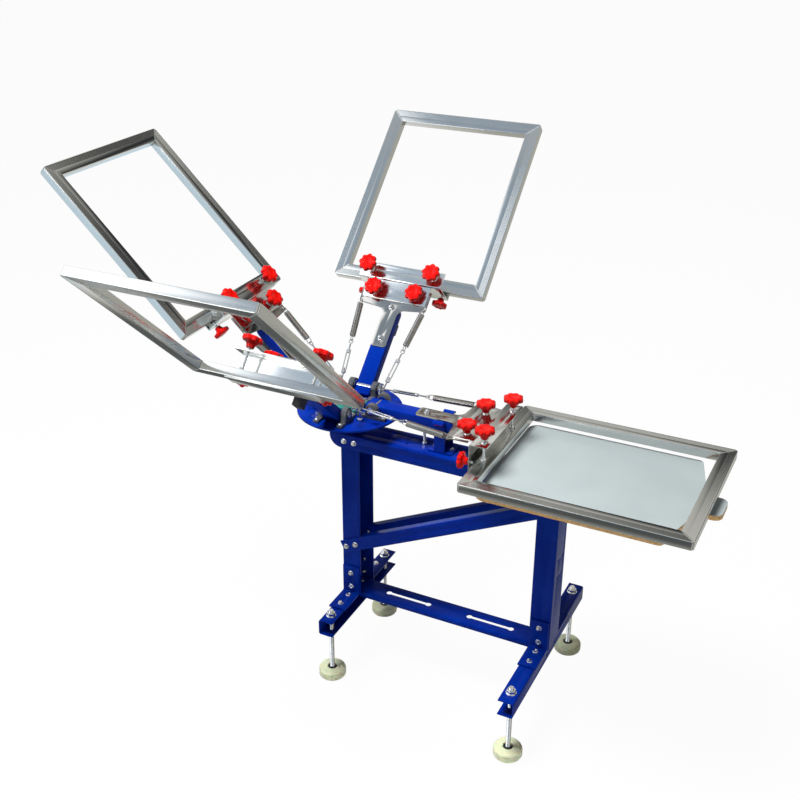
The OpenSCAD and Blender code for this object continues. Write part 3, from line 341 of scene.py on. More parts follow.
CREAM = skin("cream_nylon", (0.80, 0.85, 0.56), (0.86, 0.90, 0.62), (0.26, 0.36), 2.0, 0.06,
             Subsurface_Weight=0.15, Subsurface_Scale=0.01)
ZINC = skin("bright_zinc", (0.66, 0.66, 0.65), (0.88, 0.88, 0.87), (0.14, 0.28), 2.5, 0.08,
            metallic=1.0, patch=60.0)
NICKEL = skin("nickel_spring_wire", (0.46, 0.43, 0.40), (0.60, 0.57, 0.53), (0.08, 0.14),
              3.0, 0.03, metallic=1.0)
LAMINATE = skin("white_laminate", (0.355, 0.405, 0.41), (0.38, 0.43, 0.435), (0.30, 0.38),
                3.0, 0.03)


# %% [markdown]
# Brushed metal is a noise squeezed in two directions, so it becomes long fine lines along the
# grain. The lines change the gloss more than the colour, which is what makes rolled aluminium
# look drawn.

# %% Brushed metals
def brushed(name, dark, light, roughness, lines_mm, strength):
    """A metal with fine lines along X of its grain; lines_mm is how far apart they are."""
    made, tree, shader = finish(name, light, 1.0, roughness[0])
    grain = node(tree, "ShaderNodeAttribute", {"attribute_name": "grain"}).outputs["Vector"]
    across = 1.0 / (lines_mm * MM)
    drawn = node(tree, "ShaderNodeMapping", Vector=grain, Scale=(14, across, across)).outputs[0]
    lines = noise(tree, drawn, 1.0, 4.0, 0.6)
    slow = noise(tree, grain, 7.0)
    both = maths(tree, "MULTIPLY_ADD", slow, 0.5, maths(tree, "MULTIPLY", lines, 0.5))
    tree.links.new(tinted(tree, both, dark, light), shader.inputs["Base Color"])
    tree.links.new(spread(tree, lines, *roughness), shader.inputs["Roughness"])
    bumped(tree, shader, lines, strength, 0.15 * MM)
    return made


ALUMINIUM = brushed("drawn_aluminium", (0.60, 0.60, 0.58), (0.70, 0.70, 0.68), (0.14, 0.22),
                    1.2, 0.04)
SATIN = brushed("satin_clamp_steel", (0.82, 0.82, 0.79), (0.92, 0.92, 0.90), (0.14, 0.22),
                0.8, 0.04)
STAINLESS = brushed("polished_stainless", (0.42, 0.40, 0.37), (0.52, 0.50, 0.47), (0.12, 0.20),
                    0.8, 0.04)


# %% [markdown]
# The pallet is plywood: thin layers whose colour alternates from light to dark with height, each
# with short pores along the cut edge.

# %% Plywood edge
PLYWOOD, tree, shader = finish("plywood_edge", (0.72, 0.47, 0.24), 0.0, 0.5)
place = node(tree, "ShaderNodeTexCoord").outputs["Object"]
layers = node(tree, "ShaderNodeTexWave", {"bands_direction": "Z"}, Vector=place, Scale=90.0,
              Distortion=0.6, Detail=2.0).outputs[1]
squeezed = node(tree, "ShaderNodeMapping", Vector=place, Scale=(180, 180, 1400)).outputs[0]
pores = noise(tree, squeezed, 1.0, 4.0)
plies = maths(tree, "MULTIPLY_ADD", layers, 0.25, pores)
tree.links.new(tinted(tree, plies, (0.46, 0.20, 0.050), (0.90, 0.56, 0.22)),
               shader.inputs["Base Color"])
bumped(tree, shader, pores, 0.3, 0.2 * MM)
print("finishes", len(bpy.data.materials))

# %% [markdown]
# ## A small kit for meshes
# Each piece starts as a list of simple shapes in its own space. A shape is swept, turned or
# pressed out in bmesh, its hard edges are rounded slightly so that they catch light, and a matrix
# sets it in place.

# %% Shapes
# Angles in radians: an edge sharper than HARD is rounded, one sharper than CREASE is shaded as an
# edge, and faces that meet flatter than FLAT become one.
HARD, CREASE, FLAT = 0.6, 0.65, 0.012


def mm(*points):
    """Points given in millimetres, in metres. A function of the angle stays as it is."""
    return [tuple(v if callable(v) else v * MM for v in point) for point in points]


def pressed(outline, low, high, rounding=0.0, steps=2):
    """A plate of a flat outline, from z low to z high, with its rims rounded."""
    shape = bmesh.new()
    face = shape.faces.new([shape.verts.new((x, y, low)) for x, y in outline])
    top = bmesh.ops.extrude_face_region(shape, geom=[face])["geom"]
    bmesh.ops.translate(shape, vec=(0, 0, high - low),
                        verts=[v for v in top if isinstance(v, bmesh.types.BMVert)])
    bmesh.ops.recalc_face_normals(shape, faces=shape.faces)
    if rounding > 0:
        level = [e for e in shape.edges if abs(e.verts[0].co.z - e.verts[1].co.z) < 1e-7]
        sharp = [e for e in shape.edges if e not in level and e.calc_face_angle(0) > HARD]
        bmesh.ops.bevel(shape, geom=level + sharp, offset=rounding, segments=steps,
                        affect="EDGES", profile=0.5, clamp_overlap=True)
    return shape


def block(low, high, rounding):
    """A rounded block between two corners."""
    outline = [(low[0], low[1]), (high[0], low[1]), (high[0], high[1]), (low[0], high[1])]
    return pressed(outline, low[2], high[2], rounding, 3)


def bridged(shape, rings):
    """Joins each ring of vertices to the next with four-sided faces."""
    for a, b in zip(rings, rings[1:]):
        for k in range(len(a)):
            after = (k + 1) % len(a)
            shape.faces.new([a[k], a[after], b[after], b[k]])


def turned_form(profile, sides=48):
    """Turns (radius or function of angle, height) points round Z and closes what meets."""
    shape = bmesh.new()
    angles = [math.tau * k / sides for k in range(sides)]
    rings = []
    for radius, z in profile:
        reach = [radius(a) if callable(radius) else radius for a in angles]
        rings.append([shape.verts.new((r * math.cos(a), r * math.sin(a), z))
                      for r, a in zip(reach, angles)])
    bridged(shape, rings)
    bmesh.ops.remove_doubles(shape, verts=shape.verts, dist=1e-7)
    bmesh.ops.recalc_face_normals(shape, faces=shape.faces)
    return shape


def wire(points, radius, sides=12, closed=False):
    """A round wire swept along points."""
    shape = bmesh.new()
    points = [Vector(p) for p in points]
    angles = [math.tau * k / sides for k in range(sides)]
    rings, side = [], None
    for k, p in enumerate(points):
        before = points[k - 1] if closed or k > 0 else p
        after = points[(k + 1) % len(points)] if closed or k < len(points) - 1 else p
        way = (after - before).normalized()
        if side is None:
            side = way.orthogonal().normalized()
        side = (side - side.dot(way) * way).normalized()
        other = way.cross(side)
        rings.append([shape.verts.new(p + radius * (math.cos(a) * side + math.sin(a) * other))
                      for a in angles])
    bridged(shape, rings + rings[:1] if closed else rings)
    if not closed:
        shape.faces.new(rings[0][::-1])
        shape.faces.new(rings[-1])
    bmesh.ops.recalc_face_normals(shape, faces=shape.faces)
    return shape


def arc(centre, radius, start, end, steps):
    """Points on an arc in the plane, in degrees."""
    angles = [math.radians(start + (end - start) * k / steps) for k in range(steps + 1)]
    return [(centre[0] + radius * math.cos(a), centre[1] + radius * math.sin(a)) for a in angles]


# %% [markdown]
# Shapes with their finishes are joined into one mesh, and the mesh is set on its body in place of
# the CAD nodes that it stands for. A head's pieces are made four times, once for each head.

# %% Joining shapes into a piece
def shaped(name, parts):
    """One mesh from (shape, material, matrix) parts; each keeps its own coordinates as grain."""
    whole = bmesh.new()
    mesh = bpy.data.meshes.new(name)
    finishes = []
    for shape, material, *matrix in parts:
        layers = shape.verts.layers.float_vector
        grain = layers.get("grain") or layers.new("grain")
        for v in shape.verts:
            v[grain] = v.co
        if material not in finishes:
            finishes.append(material)
        for f in shape.faces:
            f.material_index = finishes.index(material)
            f.smooth = True
        for e in shape.edges:
            e.smooth = e.calc_face_angle(0) < CREASE
        if matrix:
            bmesh.ops.transform(shape, matrix=matrix[0], verts=shape.verts)
        part = bpy.data.meshes.new("part")
        shape.to_mesh(part)
        shape.free()
        whole.from_mesh(part)
        bpy.data.meshes.remove(part)
    whole.to_mesh(mesh)
    whole.free()
    for material in finishes:
        mesh.materials.append(material)
    return mesh


def placed(name, parts, place=None):
    """A piece made of parts, in the scene."""
    mesh = shaped(name, parts)
    if place:
        mesh.transform(place)
    piece = bpy.data.objects.new(name, mesh)
    bpy.context.scene.collection.objects.link(piece)
    return piece


def fitted(name, parts, body, stood_for, place=None):
    """Fits a piece on its body, in place of a CAD node, and counts its faces."""
    piece = placed(name, parts, place)
    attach(piece, body)
    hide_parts(stood_for)
    return len(piece.data.polygons)


def on_each_head(name, shapes, body, node_name):
    """Fits one piece to each of the four heads. shapes(letter) makes that head's shapes."""
    for letter in HEADS:
        faces = fitted(f"{name}_{letter}", shapes(letter), f"{body}_{letter}",
                       f"{node_name}_{letter}", head_place(letter))
    print(name, "on four heads,", faces, "faces each")


def at(x=0.0, y=0.0, z=0.0):
    return Matrix.Translation((x, y, z))


def tipped(degrees, axis):
    return Matrix.Rotation(math.radians(degrees), 4, axis)


# %% [markdown]
# ## Folded sheet steel
# The stand's channels, brackets and braces already have their folds and holes in the CAD. What
# they lack is the soft edge that paint gives to cut sheet. A copy of each node is merged into one
# surface, its flat faces are joined up, and every hard edge gets a narrow two-step bevel.

# %% Soft-edged copies of CAD nodes
def solids(shape):
    """The separate solids of a shape, each as a set of its vertices."""
    left = set(shape.verts)
    while left:
        group, rim = set(), [left.pop()]
        while rim:
            v = rim.pop()
            group.add(v)
            for e in v.link_edges:
                o = e.other_vert(v)
                if o in left:
                    left.remove(o)
                    rim.append(o)
        yield group


def softened(node_name, rounding, to_own=Matrix(), longer_than=0.0):
    """A merged and bevelled copy of a CAD node, or of its solids longer than a length along X."""
    shape = bmesh.new()
    shape.from_mesh(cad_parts[node_name].data)
    bmesh.ops.transform(shape, matrix=to_own, verts=shape.verts)
    bmesh.ops.remove_doubles(shape, verts=shape.verts, dist=1e-6)
    if longer_than:
        gone = []
        for group in solids(shape):
            reach = [v.co.x for v in group]
            if max(reach) - min(reach) <= longer_than:
                gone += group
        bmesh.ops.delete(shape, geom=gone, context="VERTS")
    bmesh.ops.dissolve_limit(shape, angle_limit=FLAT, verts=shape.verts, edges=shape.edges)
    hard = [e for e in shape.edges if e.is_manifold and e.calc_face_angle(0) > HARD]
    bmesh.ops.bevel(shape, geom=hard, offset=rounding, segments=2, affect="EDGES", profile=0.5,
                    clamp_overlap=True)
    bmesh.ops.triangulate(shape, faces=[f for f in shape.faces if len(f.verts) > 4])
    return shape


for name in ("rear_upright", "front_upright", "rear_foot_channel", "front_foot_channel",
             "foot_brackets", "stretcher", "near_brace", "far_brace", "main_beam",
             "pallet_bracket"):
    fitted("painted_" + name, [(softened(name, 0.6 * MM), COBALT)], "stand", name)
fitted("painted_disc", [(softened("carousel_disc", 0.8 * MM), COBALT)], "carousel",
       "carousel_disc")

# %% [markdown]
# ## Bolts, nuts and washers
# The stand, the turntable and the pallet are held by hexagon bolts with chamfered heads on round
# washers. One fastener is modelled, and Geometry Nodes sets a copy on every point of a small mesh
# of bolt places, turned by an attribute on each point. The tree ends in real geometry and one
# finish.

# %% One bolt and one nut
def hexagon(radius, height, chamfer):
    """A hexagon with its top corners and edges taken off, as on a forged bolt head."""
    shape = pressed(arc((0, 0), radius, 0, 300, 5), 0, height)
    corners = [v for v in shape.verts if v.co.z > height / 2]
    edges = [e for e in shape.edges if e.verts[0] in corners and e.verts[1] in corners]
    bmesh.ops.bevel(shape, geom=corners + edges, offset=chamfer, segments=2, affect="EDGES",
                    profile=0.6, clamp_overlap=True)
    return shape


def bolt_shapes(r, grip):
    """A bolt of radius r along +Z, in proportion: washer and head above zero, a nut and the
    shank's end below the grip."""
    washer = turned_form([(0, 0), (2 * r, 0), (2 * r, 0.3 * r), (1.9 * r, 0.4 * r), (0, 0.4 * r)],
                         24)
    end = turned_form([(0, -grip - 2.2 * r), (0.8 * r, -grip - 2.2 * r), (r, -grip - 2.0 * r),
                       (r, -grip), (0, -grip)], 16)
    return [(washer, ZINC), (hexagon(1.75 * r, 1.1 * r, 0.25 * r), ZINC, at(0, 0, 0.4 * r)),
            (end, ZINC),
            (hexagon(1.75 * r, 1.6 * r, 0.2 * r), ZINC, at(0, 0, -grip) @ tipped(180, "X"))]


# %% Copies on places
def set_on_places(name, pattern_mesh, places, material):
    """A shape with the pattern at each (point, direction); its +Z follows the direction."""
    pattern = bpy.data.objects.new(name + "_pattern", pattern_mesh)
    points = bpy.data.meshes.new(name + "_places")
    points.from_pydata([p for p, _ in places], [], [])
    turn = points.attributes.new("turn", "FLOAT_VECTOR", "POINT")
    for k, (_, way) in enumerate(places):
        turn.data[k].vector = Vector(way).to_track_quat("Z", "Y").to_euler()
    holder = bpy.data.objects.new(name + "_holder", points)
    bpy.context.scene.collection.objects.link(holder)

    tree = bpy.data.node_groups.new("set_on_places", "GeometryNodeTree")
    for in_out, socket in (("INPUT", "Places"), ("OUTPUT", "Geometry")):
        tree.interface.new_socket(socket, in_out=in_out, socket_type="NodeSocketGeometry")
    given = tree.nodes.new("NodeGroupInput").outputs["Places"]
    turn = node(tree, "GeometryNodeInputNamedAttribute", {"data_type": "FLOAT_VECTOR"},
                Name="turn").outputs[0]
    turn = node(tree, "FunctionNodeEulerToRotation", Euler=turn).outputs[0]
    copy = node(tree, "GeometryNodeObjectInfo", Object=pattern).outputs["Geometry"]
    copies = node(tree, "GeometryNodeInstanceOnPoints", Points=given, Instance=copy, Rotation=turn)
    real = node(tree, "GeometryNodeRealizeInstances", Geometry=copies.outputs[0])
    done = node(tree, "GeometryNodeSetMaterial", Geometry=real.outputs[0], Material=material)
    node(tree, "NodeGroupOutput", Geometry=done.outputs[0])
    holder.modifiers.new("places", "NODES").node_group = tree
    bpy.context.view_layer.update()

    view = bpy.context.evaluated_depsgraph_get()
    made = bpy.data.meshes.new_from_object(holder.evaluated_get(view))
    shape = bmesh.new()
    shape.from_mesh(made)
    bpy.data.meshes.remove(made)
    bpy.data.objects.remove(holder)
    bpy.data.objects.remove(pattern)
    bpy.data.node_groups.remove(tree)
    return shape


def bolts(name, radius, grip, places):
    """Bolts of one size on their places, as a part of a piece; sizes in millimetres."""
    pattern = shaped(name, bolt_shapes(radius * MM, grip * MM))
    return set_on_places(name, pattern, places, ZINC), ZINC


# %% Bolt places on the stand
UP = (0, 0, 1)
REAR_X, FRONT_X = AXIS_X + 20 * MM, AXIS_X + 620 * MM
POST_SIDE, BEAM_SIDE, SHEET = 44 * MM, 47.2 * MM, 3 * MM
FOOT_TOP, BEAM_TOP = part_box("rear_foot_channel")[1].z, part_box("main_beam")[1].z
FEET = [(x, side * reach * MM) for x, reach in ((REAR_X, 176), (FRONT_X, 257)) for side in (-1, 1)]
BRACKET_BOLTS = (25, 73)
SLOPE, BRACE_START, BRACE_BOLT = math.radians(25.7), 171 * MM, 17 * MM
BRACE_RUN = 600 * MM / math.cos(SLOPE)

outer = []
for x in (REAR_X, FRONT_X):
    for side in (-1, 1):
        out = (0, side, 0)
        # Through the beam's side, the bracket's upright leg and foot leg, the stretcher's end.
        outer += [((x + dx * MM, side * BEAM_SIDE, BEAM_TOP - 23 * MM), out) for dx in (-16, 16)]
        outer += [((x, side * (POST_SIDE + 5 * MM), FOOT_TOP + dz * MM), out)
                  for dz in BRACKET_BOLTS]
        outer += [((x, side * (POST_SIDE + dy * MM), FOOT_TOP + 5 * MM), UP)
                  for dy in BRACKET_BOLTS]
        outer.append(((x, side * 19.5 * MM, FOOT_TOP + SHEET), UP))
for side in (-1, 1):
    for s in (-BRACE_BOLT, BRACE_BOLT, BRACE_RUN - BRACE_BOLT, BRACE_RUN + BRACE_BOLT):
        outer.append(((REAR_X + s * math.cos(SLOPE), side * (POST_SIDE + SHEET),
                       FOOT_TOP + BRACE_START + s * math.sin(SLOPE)), (0, side, 0)))
frame_bolts = bolts("stand_bolts", 4, 7, outer)
print("stand bolts", len(outer))

# %% [markdown]
# ## Turned and threaded parts
# Nuts, rods, pads and knobs are all round or nearly round, so one function turns a profile round
# Z. A radius in the profile may be a function of the angle, which gives a hexagon or a lobed knob
# the same way. A thread is a profile that steps between its crest and its root.

# %% Profiles
def hexed(radius):
    """A hexagon's radius at an angle; radius is measured over the corners."""
    sector = math.pi / 6
    return lambda angle: (radius * math.cos(sector)
                          / math.cos((angle + sector) % (math.pi / 3) - sector))


def thread(radius, low, high, pitch, depth):
    """The profile of a thread between two heights."""
    turns = max(1, int(abs(high - low) / pitch))
    step = (high - low) / turns
    points = []
    for k in range(turns):
        z = low + k * step
        points += [(radius - depth, z), (radius, z + 0.4 * step), (radius, z + 0.6 * step)]
    return points + [(radius - depth, high)]


def rod(radius, low, high, pitch=1.25 * MM, depth=0.5 * MM, sides=20):
    return turned_form([(0, low)] + thread(radius, low, high, pitch, depth) + [(0, high)], sides)


# %% [markdown]
# The levelling feet are round cream pads moulded on threaded rods. Each rod passes through a foot
# channel between two flanged nuts, so the nuts are bored and the rod shows above them.

# %% Levelling feet
ROD, PAD, PAD_TALL, PAD_EDGE = 7 * MM, 41 * MM, 31 * MM, 9 * MM


def foot_shapes():
    rim = PAD - PAD_EDGE
    lower = [(x, z + PAD_EDGE) for x, z in arc((rim, 0), PAD_EDGE, -90, 0, 6)]
    upper = [(x, z + PAD_TALL - PAD_EDGE) for x, z in arc((rim, 0), PAD_EDGE, 0, 90, 6)]
    dish = [(15.5 * MM, PAD_TALL), (14.6 * MM, PAD_TALL - 1 * MM), (14.2 * MM, 26 * MM),
            (0, 26 * MM)]
    # A black fill in the pad's dished top, flush with its rim and rising to the rod: painted shade
    # of the recess round the rod.
    dish_shade_fill = mm((0, 26.1), (13.6, 26.1), (13, 28), (9, 29.5), (7.4, 31), (0, 31))
    return [(turned_form([(0, 0)] + lower + upper + dish, 72), CREAM),
            (turned_form(dish_shade_fill, 48), BLACK),
            (rod(ROD, 28 * MM, FOOT_TOP + 20 * MM, 2 * MM, 0.7 * MM, 28), ZINC)]


for k, (x, y) in enumerate(FEET):
    faces = fitted(f"levelling_{k + 1}", foot_shapes(), f"foot_{k + 1}",
                   f"levelling_foot_{k + 1}", at(x, y))
print("levelling feet", len(FEET), "with", faces, "faces each")

# %% [markdown]
# The stand's own hardware is one piece: the bolts, the feet's lock nuts, and the adjusting bolt
# that stops the lowered arm.

# %% The stand's bolts, lock nuts and adjusting bolt
GATE_X, STOP_X = AXIS_X + 293 * MM, AXIS_X + 235 * MM
POST_CIRCLE, FOOT_CHANNEL = 34 * MM, 50 * MM


def lock_nut():
    bore = ROD + 0.25 * MM
    outside = mm((15, 0), (15, 2.0), (14.4, 2.5), (hexed(13 * MM), 2.5), (hexed(13 * MM), 11),
                 (hexed(12 * MM), 12), (8.4, 12))
    return turned_form([(bore, 0)] + outside + [(bore, 11 * MM), (bore, 0)], 48)


corners = [math.radians(45 + 90 * k) for k in range(4)]
post_places = [((AXIS_X + POST_CIRCLE * math.cos(a), POST_CIRCLE * math.sin(a),
                 BEAM_TOP + 10 * MM), UP) for a in corners]
gate_places = [((GATE_X + dx * MM, 0, BEAM_TOP + 4 * MM), UP) for dx in (-24.67, 24.67)]
tray_places = [((FRONT_X + dx * MM, dy * MM, BEAM_TOP + 3.9 * MM), UP)
               for dx in (-83.33, 83.33) for dy in (-23.6, 23.6)]
parts = [frame_bolts, bolts("post_bolts", 3, 13, post_places),
         bolts("gate_bolts", 3, 7, gate_places), bolts("tray_bolts", 3, 6.9, tray_places)]
for x, y in FEET:
    parts.append((lock_nut(), ZINC, at(x, y, FOOT_TOP)))
    parts.append((lock_nut(), ZINC, at(x, y, FOOT_TOP - FOOT_CHANNEL) @ tipped(180, "X")))
parts.append((rod(4 * MM, -12 * MM, 49 * MM), ZINC, at(STOP_X, 0, BEAM_TOP)))
for place in (at(), at(0, 0, 49 * MM), at(0, 0, -3 * MM) @ tipped(180, "X")):
    parts.append((hexagon(7 * MM, 6 * MM, 1 * MM), ZINC, at(STOP_X, 0, BEAM_TOP) @ place))
fitted("stand_hardware", parts, "stand", "frame_bolts")

# %% [markdown]
# The gate's two ears curl outwards at the top. Under each curl sits a red nylon roller that the
# arm's black block runs against as the head comes down.

# %% Gate with its rollers
ROLLER = mm((0, -13), (4.0, -13), (4.7, -12.3), (4.7, 12.3), (4.0, 13), (0, 13))
ROLLER_Y, ROLLER_Z = 36 * MM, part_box("registration_gate")[1].z - 9.5 * MM
gate = [(softened("registration_gate", 0.6 * MM), COBALT)]
for side in (-1, 1):
    gate.append((turned_form(ROLLER, 24), SCARLET,
                 at(GATE_X, side * ROLLER_Y, ROLLER_Z) @ tipped(90, "Y")))
fitted("painted_gate", gate, "stand", "registration_gate")

# %% [markdown]
# ## Pallet
# The board is plywood with a white laminate on top. Its outline and its rounded tongue come from
# the CAD; the laminate gets a fine rounded rim, and the edge shows the plies.

# %% Pallet
fitted("pallet_plywood", [(softened("pallet_board", 0.8 * MM), PLYWOOD)], "stand",
       "pallet_board")
fitted("pallet_face", [(softened("pallet_laminate", 0.3 * MM), LAMINATE)], "stand",
       "pallet_laminate")

# %% [markdown]
# ## Turntable
# A round plate turns on a shaft that is fixed to the beam. The teal casting on the plate holds
# the bearing, and four pairs of grey pillow blocks carry the arms' cross pins. The castings keep
# their CAD shape with rounder edges. Each gets the steel ring that shows in its bore, and the
# pillow blocks a black seal round it.

# %% Centre post, bearing and pillow blocks
BEARING = mm((10.1, 20), (10.1, 33), (14, 33), (14.5, 32), (14.5, 27.5), (20, 27), (22, 28.4),
             (24, 28.4), (24.5, 27), (24, 20), (10.1, 20))
RACE = mm((7.1, -10.9), (7.5, -11.3), (9.8, -11.3), (10.2, -10.9), (10.2, 10.9), (9.8, 11.3),
          (7.5, 11.3), (7.1, 10.9), (7.1, -10.9))
SEAL = mm((10.3, -10.8), (12.3, -10.8), (12.3, 10.8), (10.3, 10.8), (10.3, -10.8))
BLOCK_Y = 37 * MM

fitted("centre_shaft", [(softened("centre_post", 0.6 * MM), DARK_STEEL)], "stand",
       "centre_post")
parts = [(softened("flange_bearing", 1.6 * MM), TEAL),
         (turned_form(BEARING, 64), ZINC, at(AXIS_X, 0, DISC_TOP)),
         (hexagon(3.4 * MM, 3 * MM, 0.5 * MM), ZINC,
          at(AXIS_X + 14.3 * MM, 0, DISC_TOP + 30 * MM) @ tipped(90, "Y"))]
fitted("hub_casting", parts, "carousel", "flange_bearing")
parts = [(softened("pillow_blocks", 1.2 * MM), CAST)]
for k in range(4):
    for side in (-1, 1):
        spot = turned(k) @ at(HINGE_REACH, side * BLOCK_Y, HINGE_Z) @ tipped(90, "X")
        parts += [(turned_form(RACE, 48), ZINC, spot), (turned_form(SEAL, 48), BLACK, spot)]
fitted("pillow_castings", parts, "carousel", "pillow_blocks")

# %% Bolts on the turntable and the pins for the springs
ANCHOR = 67 * MM
PIN_TOP = mm((3, 0), (3, 51.7), (6.4, 51.7), (7, 52.3), (7, 54.7), (6.2, 55.7), (0, 55.7))

block_places, hub_places = [], []
for k in range(4):
    for side in (-1, 1):
        block_places += [(turned(k) @ Vector((HINGE_REACH + dx * MM, side * BLOCK_Y,
                                              DISC_TOP + 9 * MM)), UP) for dx in (-35, 35)]
    hub_places.append((turned(k) @ Vector((32 * MM, 32 * MM, DISC_TOP + 13 * MM)), UP))
parts = [bolts("block_bolts", 3, 15, block_places), bolts("hub_bolts", 4, 19, hub_places)]
fitted("turntable_bolts", parts, "carousel", "carousel_bolts")
parts = []
for k in range(4):
    spot = turned(k) @ at(ANCHOR, ANCHOR, DISC_TOP)
    pin = [(0, -14 * MM)] + thread(3 * MM, -14 * MM, -6 * MM, 1 * MM, 0.4 * MM) + PIN_TOP
    parts += [(turned_form(pin, 24), ZINC, spot),
              (hexagon(8 * MM, 8 * MM, 1 * MM), ZINC, spot),
              (hexagon(8 * MM, 8 * MM, 1 * MM), ZINC, spot @ at(0, 0, -6 * MM) @ tipped(180, "X"))]
fitted("spring_pins", parts, "carousel", "spring_anchors")
print("turntable bolts", len(block_places) + len(hub_places), "spring pins", 4)

# %% [markdown]
# ## Knobs
# The press is worked by eight-lobed red plastic knobs, six on each head. The lobed outline is the
# reach of eight small circles round a core, and the knob swells from a round neck to that outline
# and back to a shallow dished face.

# %% The knob
KNOB, LOBE = 28 * MM, 7 * MM


def lobed(size, roundness=0.0):
    """The knob's radius at an angle, scaled, and blended towards a plain circle."""
    core, reach = KNOB - 4 * MM, KNOB - LOBE

    def radius(angle):
        off = (angle + math.pi / 8) % (math.pi / 4) - math.pi / 8
        inside = LOBE ** 2 - (reach * math.sin(off)) ** 2
        lobes = reach * math.cos(off) + math.sqrt(inside) if inside > 0 else core
        return size * ((1 - roundness) * max(core, lobes) + roundness * core)
    return radius


def knob(size=1.0):
    """A knob standing on z = 0, 32 mm tall: a flared neck and a lobed head, dished on top."""
    profile = mm((0, 0), (9.8, 0), (10.5, 0.7), (11.0, 4), (12.2, 8), (14.0, 11.4),
                 (lobed(0.70, 0.85), 14.0), (lobed(0.84, 0.45), 15.6), (lobed(0.94, 0.12), 16.8),
                 (lobed(0.985), 18.2), (lobed(1.0), 20.2), (lobed(1.0), 25.4),
                 (lobed(0.985), 27.6), (lobed(0.94), 29.4), (lobed(0.86, 0.3), 30.7),
                 (lobed(0.74, 0.8), 31.6), (13.0, 32), (12.0, 31.4), (5, 31.0), (0, 30.9))
    shape = turned_form(profile, 96)
    bmesh.ops.scale(shape, vec=(size, size, size), verts=shape.verts)
    return shape


# %% [markdown]
# Each head has three pairs of knobs: on the two clamp screws, which press on the frame, on the T
# plate, where they hold the sliding plate, and on the two side screws, which square the frame.

# %% The screws that carry the knobs: places in a head's own space, then profiles
CLAMP_SCREW, PLATE_KNOB, SIDE_SCREW = mm((363, 103, 0), (298, 66, 12.3), (332, 122, -40))
CLAMP_PAD = mm((0, -35.9), (8.2, -35.9), (9, -35), (9, -32), (7.4, -30.2), (5, -28.5), (0, -28))
CLAMP_RING = mm((3.4, 18.1), (10, 18.1), (10, 19.5), (9.4, 20.1), (3.4, 20.1), (3.4, 18.1))
PLATE_WASHER = mm((3.4, 0), (9, 0), (9, 1.6), (8.6, 2), (3.4, 2), (3.4, 0))
SIDE_PAD = mm((0, -15.9), (7, -15.9), (8, -15), (8, -12.6), (5.6, -11.4), (0, -11.4))


def screw_pair(place, tip, size, knob_z, rod_ends, *turned_parts):
    """Makes the shapes of a pair of knobs on threaded rods, with their (profile, sides, finish)
    parts. place is on the +Y side, tip turns the pair over, and the heights are in millimetres."""
    def shapes(letter):
        parts = []
        for side in (-1, 1):
            spot = at(place[0], side * place[1], place[2]) @ tipped(tip, "Y")
            parts += [(knob(size), SCARLET, spot @ at(0, 0, knob_z * MM)),
                      (rod(4 * MM, rod_ends[0] * MM, rod_ends[1] * MM), ZINC, spot)]
            parts += [(turned_form(profile, sides), material, spot)
                      for profile, sides, material in turned_parts]
        return parts
    return shapes


on_each_head("clamp_knobs", screw_pair(CLAMP_SCREW, 0, 1.0, 28, (-30, 30), (CLAMP_PAD, 36, ZINC),
                                       (CLAMP_RING, 36, ZINC)),
             "clamp", "clamp_screws")
on_each_head("plate_knob_pair", screw_pair(PLATE_KNOB, 0, 1.0, 2, (-17, 3),
                                           (PLATE_WASHER, 36, ZINC)),
             "knobs", "plate_knobs")
on_each_head("side_knobs", screw_pair(SIDE_SCREW, -90, 0.85, 5, (-12, 6), (SIDE_PAD, 32, BLACK)),
             "side", "side_screws")

# %% [markdown]
# ## Screen frames
# A frame is four lengths of drawn aluminium tube, mitred and welded at the corners. Each rail is
# built along its own X, so its grain runs along it, and is then laid in place. The mitres are
# dressed with rows of small weld beads, which Geometry Nodes sets on points across each corner.

# %% Rails and welds
FRAME_START, FRAME_LONG, FRAME_WIDE = 348 * MM, 600 * MM, 497 * MM
RAIL, RAIL_TALL, FRAME_TOP = 40 * MM, 24 * MM, -36 * MM
CORNER_CUT, GROOVE_DEEP = 6 * MM, 0.3 * MM
BEAD = mm((0, 0.9), (1.4, 0.75), (2.5, 0.3), (3.0, -0.2), (0, -0.2))


def rail(length):
    """A mitred rail along X, outer face on y = 0, with six drawn grooves in its top."""
    cut = CORNER_CUT
    outline = [(cut, 0), (length - cut, 0), (length - cut / 2, cut / 2), (length - RAIL, RAIL),
               (RAIL, RAIL), (cut / 2, cut / 2)]
    shape = pressed(outline, 0, RAIL_TALL, 1.1 * MM, 3)
    grooves = [(5 + 3.2 * k) * MM for k in range(6)]
    for y in [g + d * MM for g in grooves for d in (-0.9, 0, 0.9)]:
        everything = shape.verts[:] + shape.edges[:] + shape.faces[:]
        bmesh.ops.bisect_plane(shape, geom=everything, plane_co=(0, y, 0), plane_no=(0, 1, 0))
    for v in shape.verts:
        if v.co.z > RAIL_TALL - 0.2 * MM and any(abs(v.co.y - g) < 1e-6 for g in grooves):
            v.co.z -= GROOVE_DEEP
    return shape


def bead_places(top):
    """Points across the four mitres, on the frame's top or bottom, in the head's own space."""
    z = FRAME_TOP - 0.5 * MM if top else FRAME_TOP - RAIL_TALL + 0.5 * MM
    places = []
    for end in (0, 1):
        for side in (-1, 1):
            for s in [(7 + 3.1 * k) * MM for k in range(11)]:
                x = FRAME_START + (s if end == 0 else FRAME_LONG - s)
                places.append(((x, side * (FRAME_WIDE / 2 - s), z), (0, 0, 1 if top else -1)))
    return places


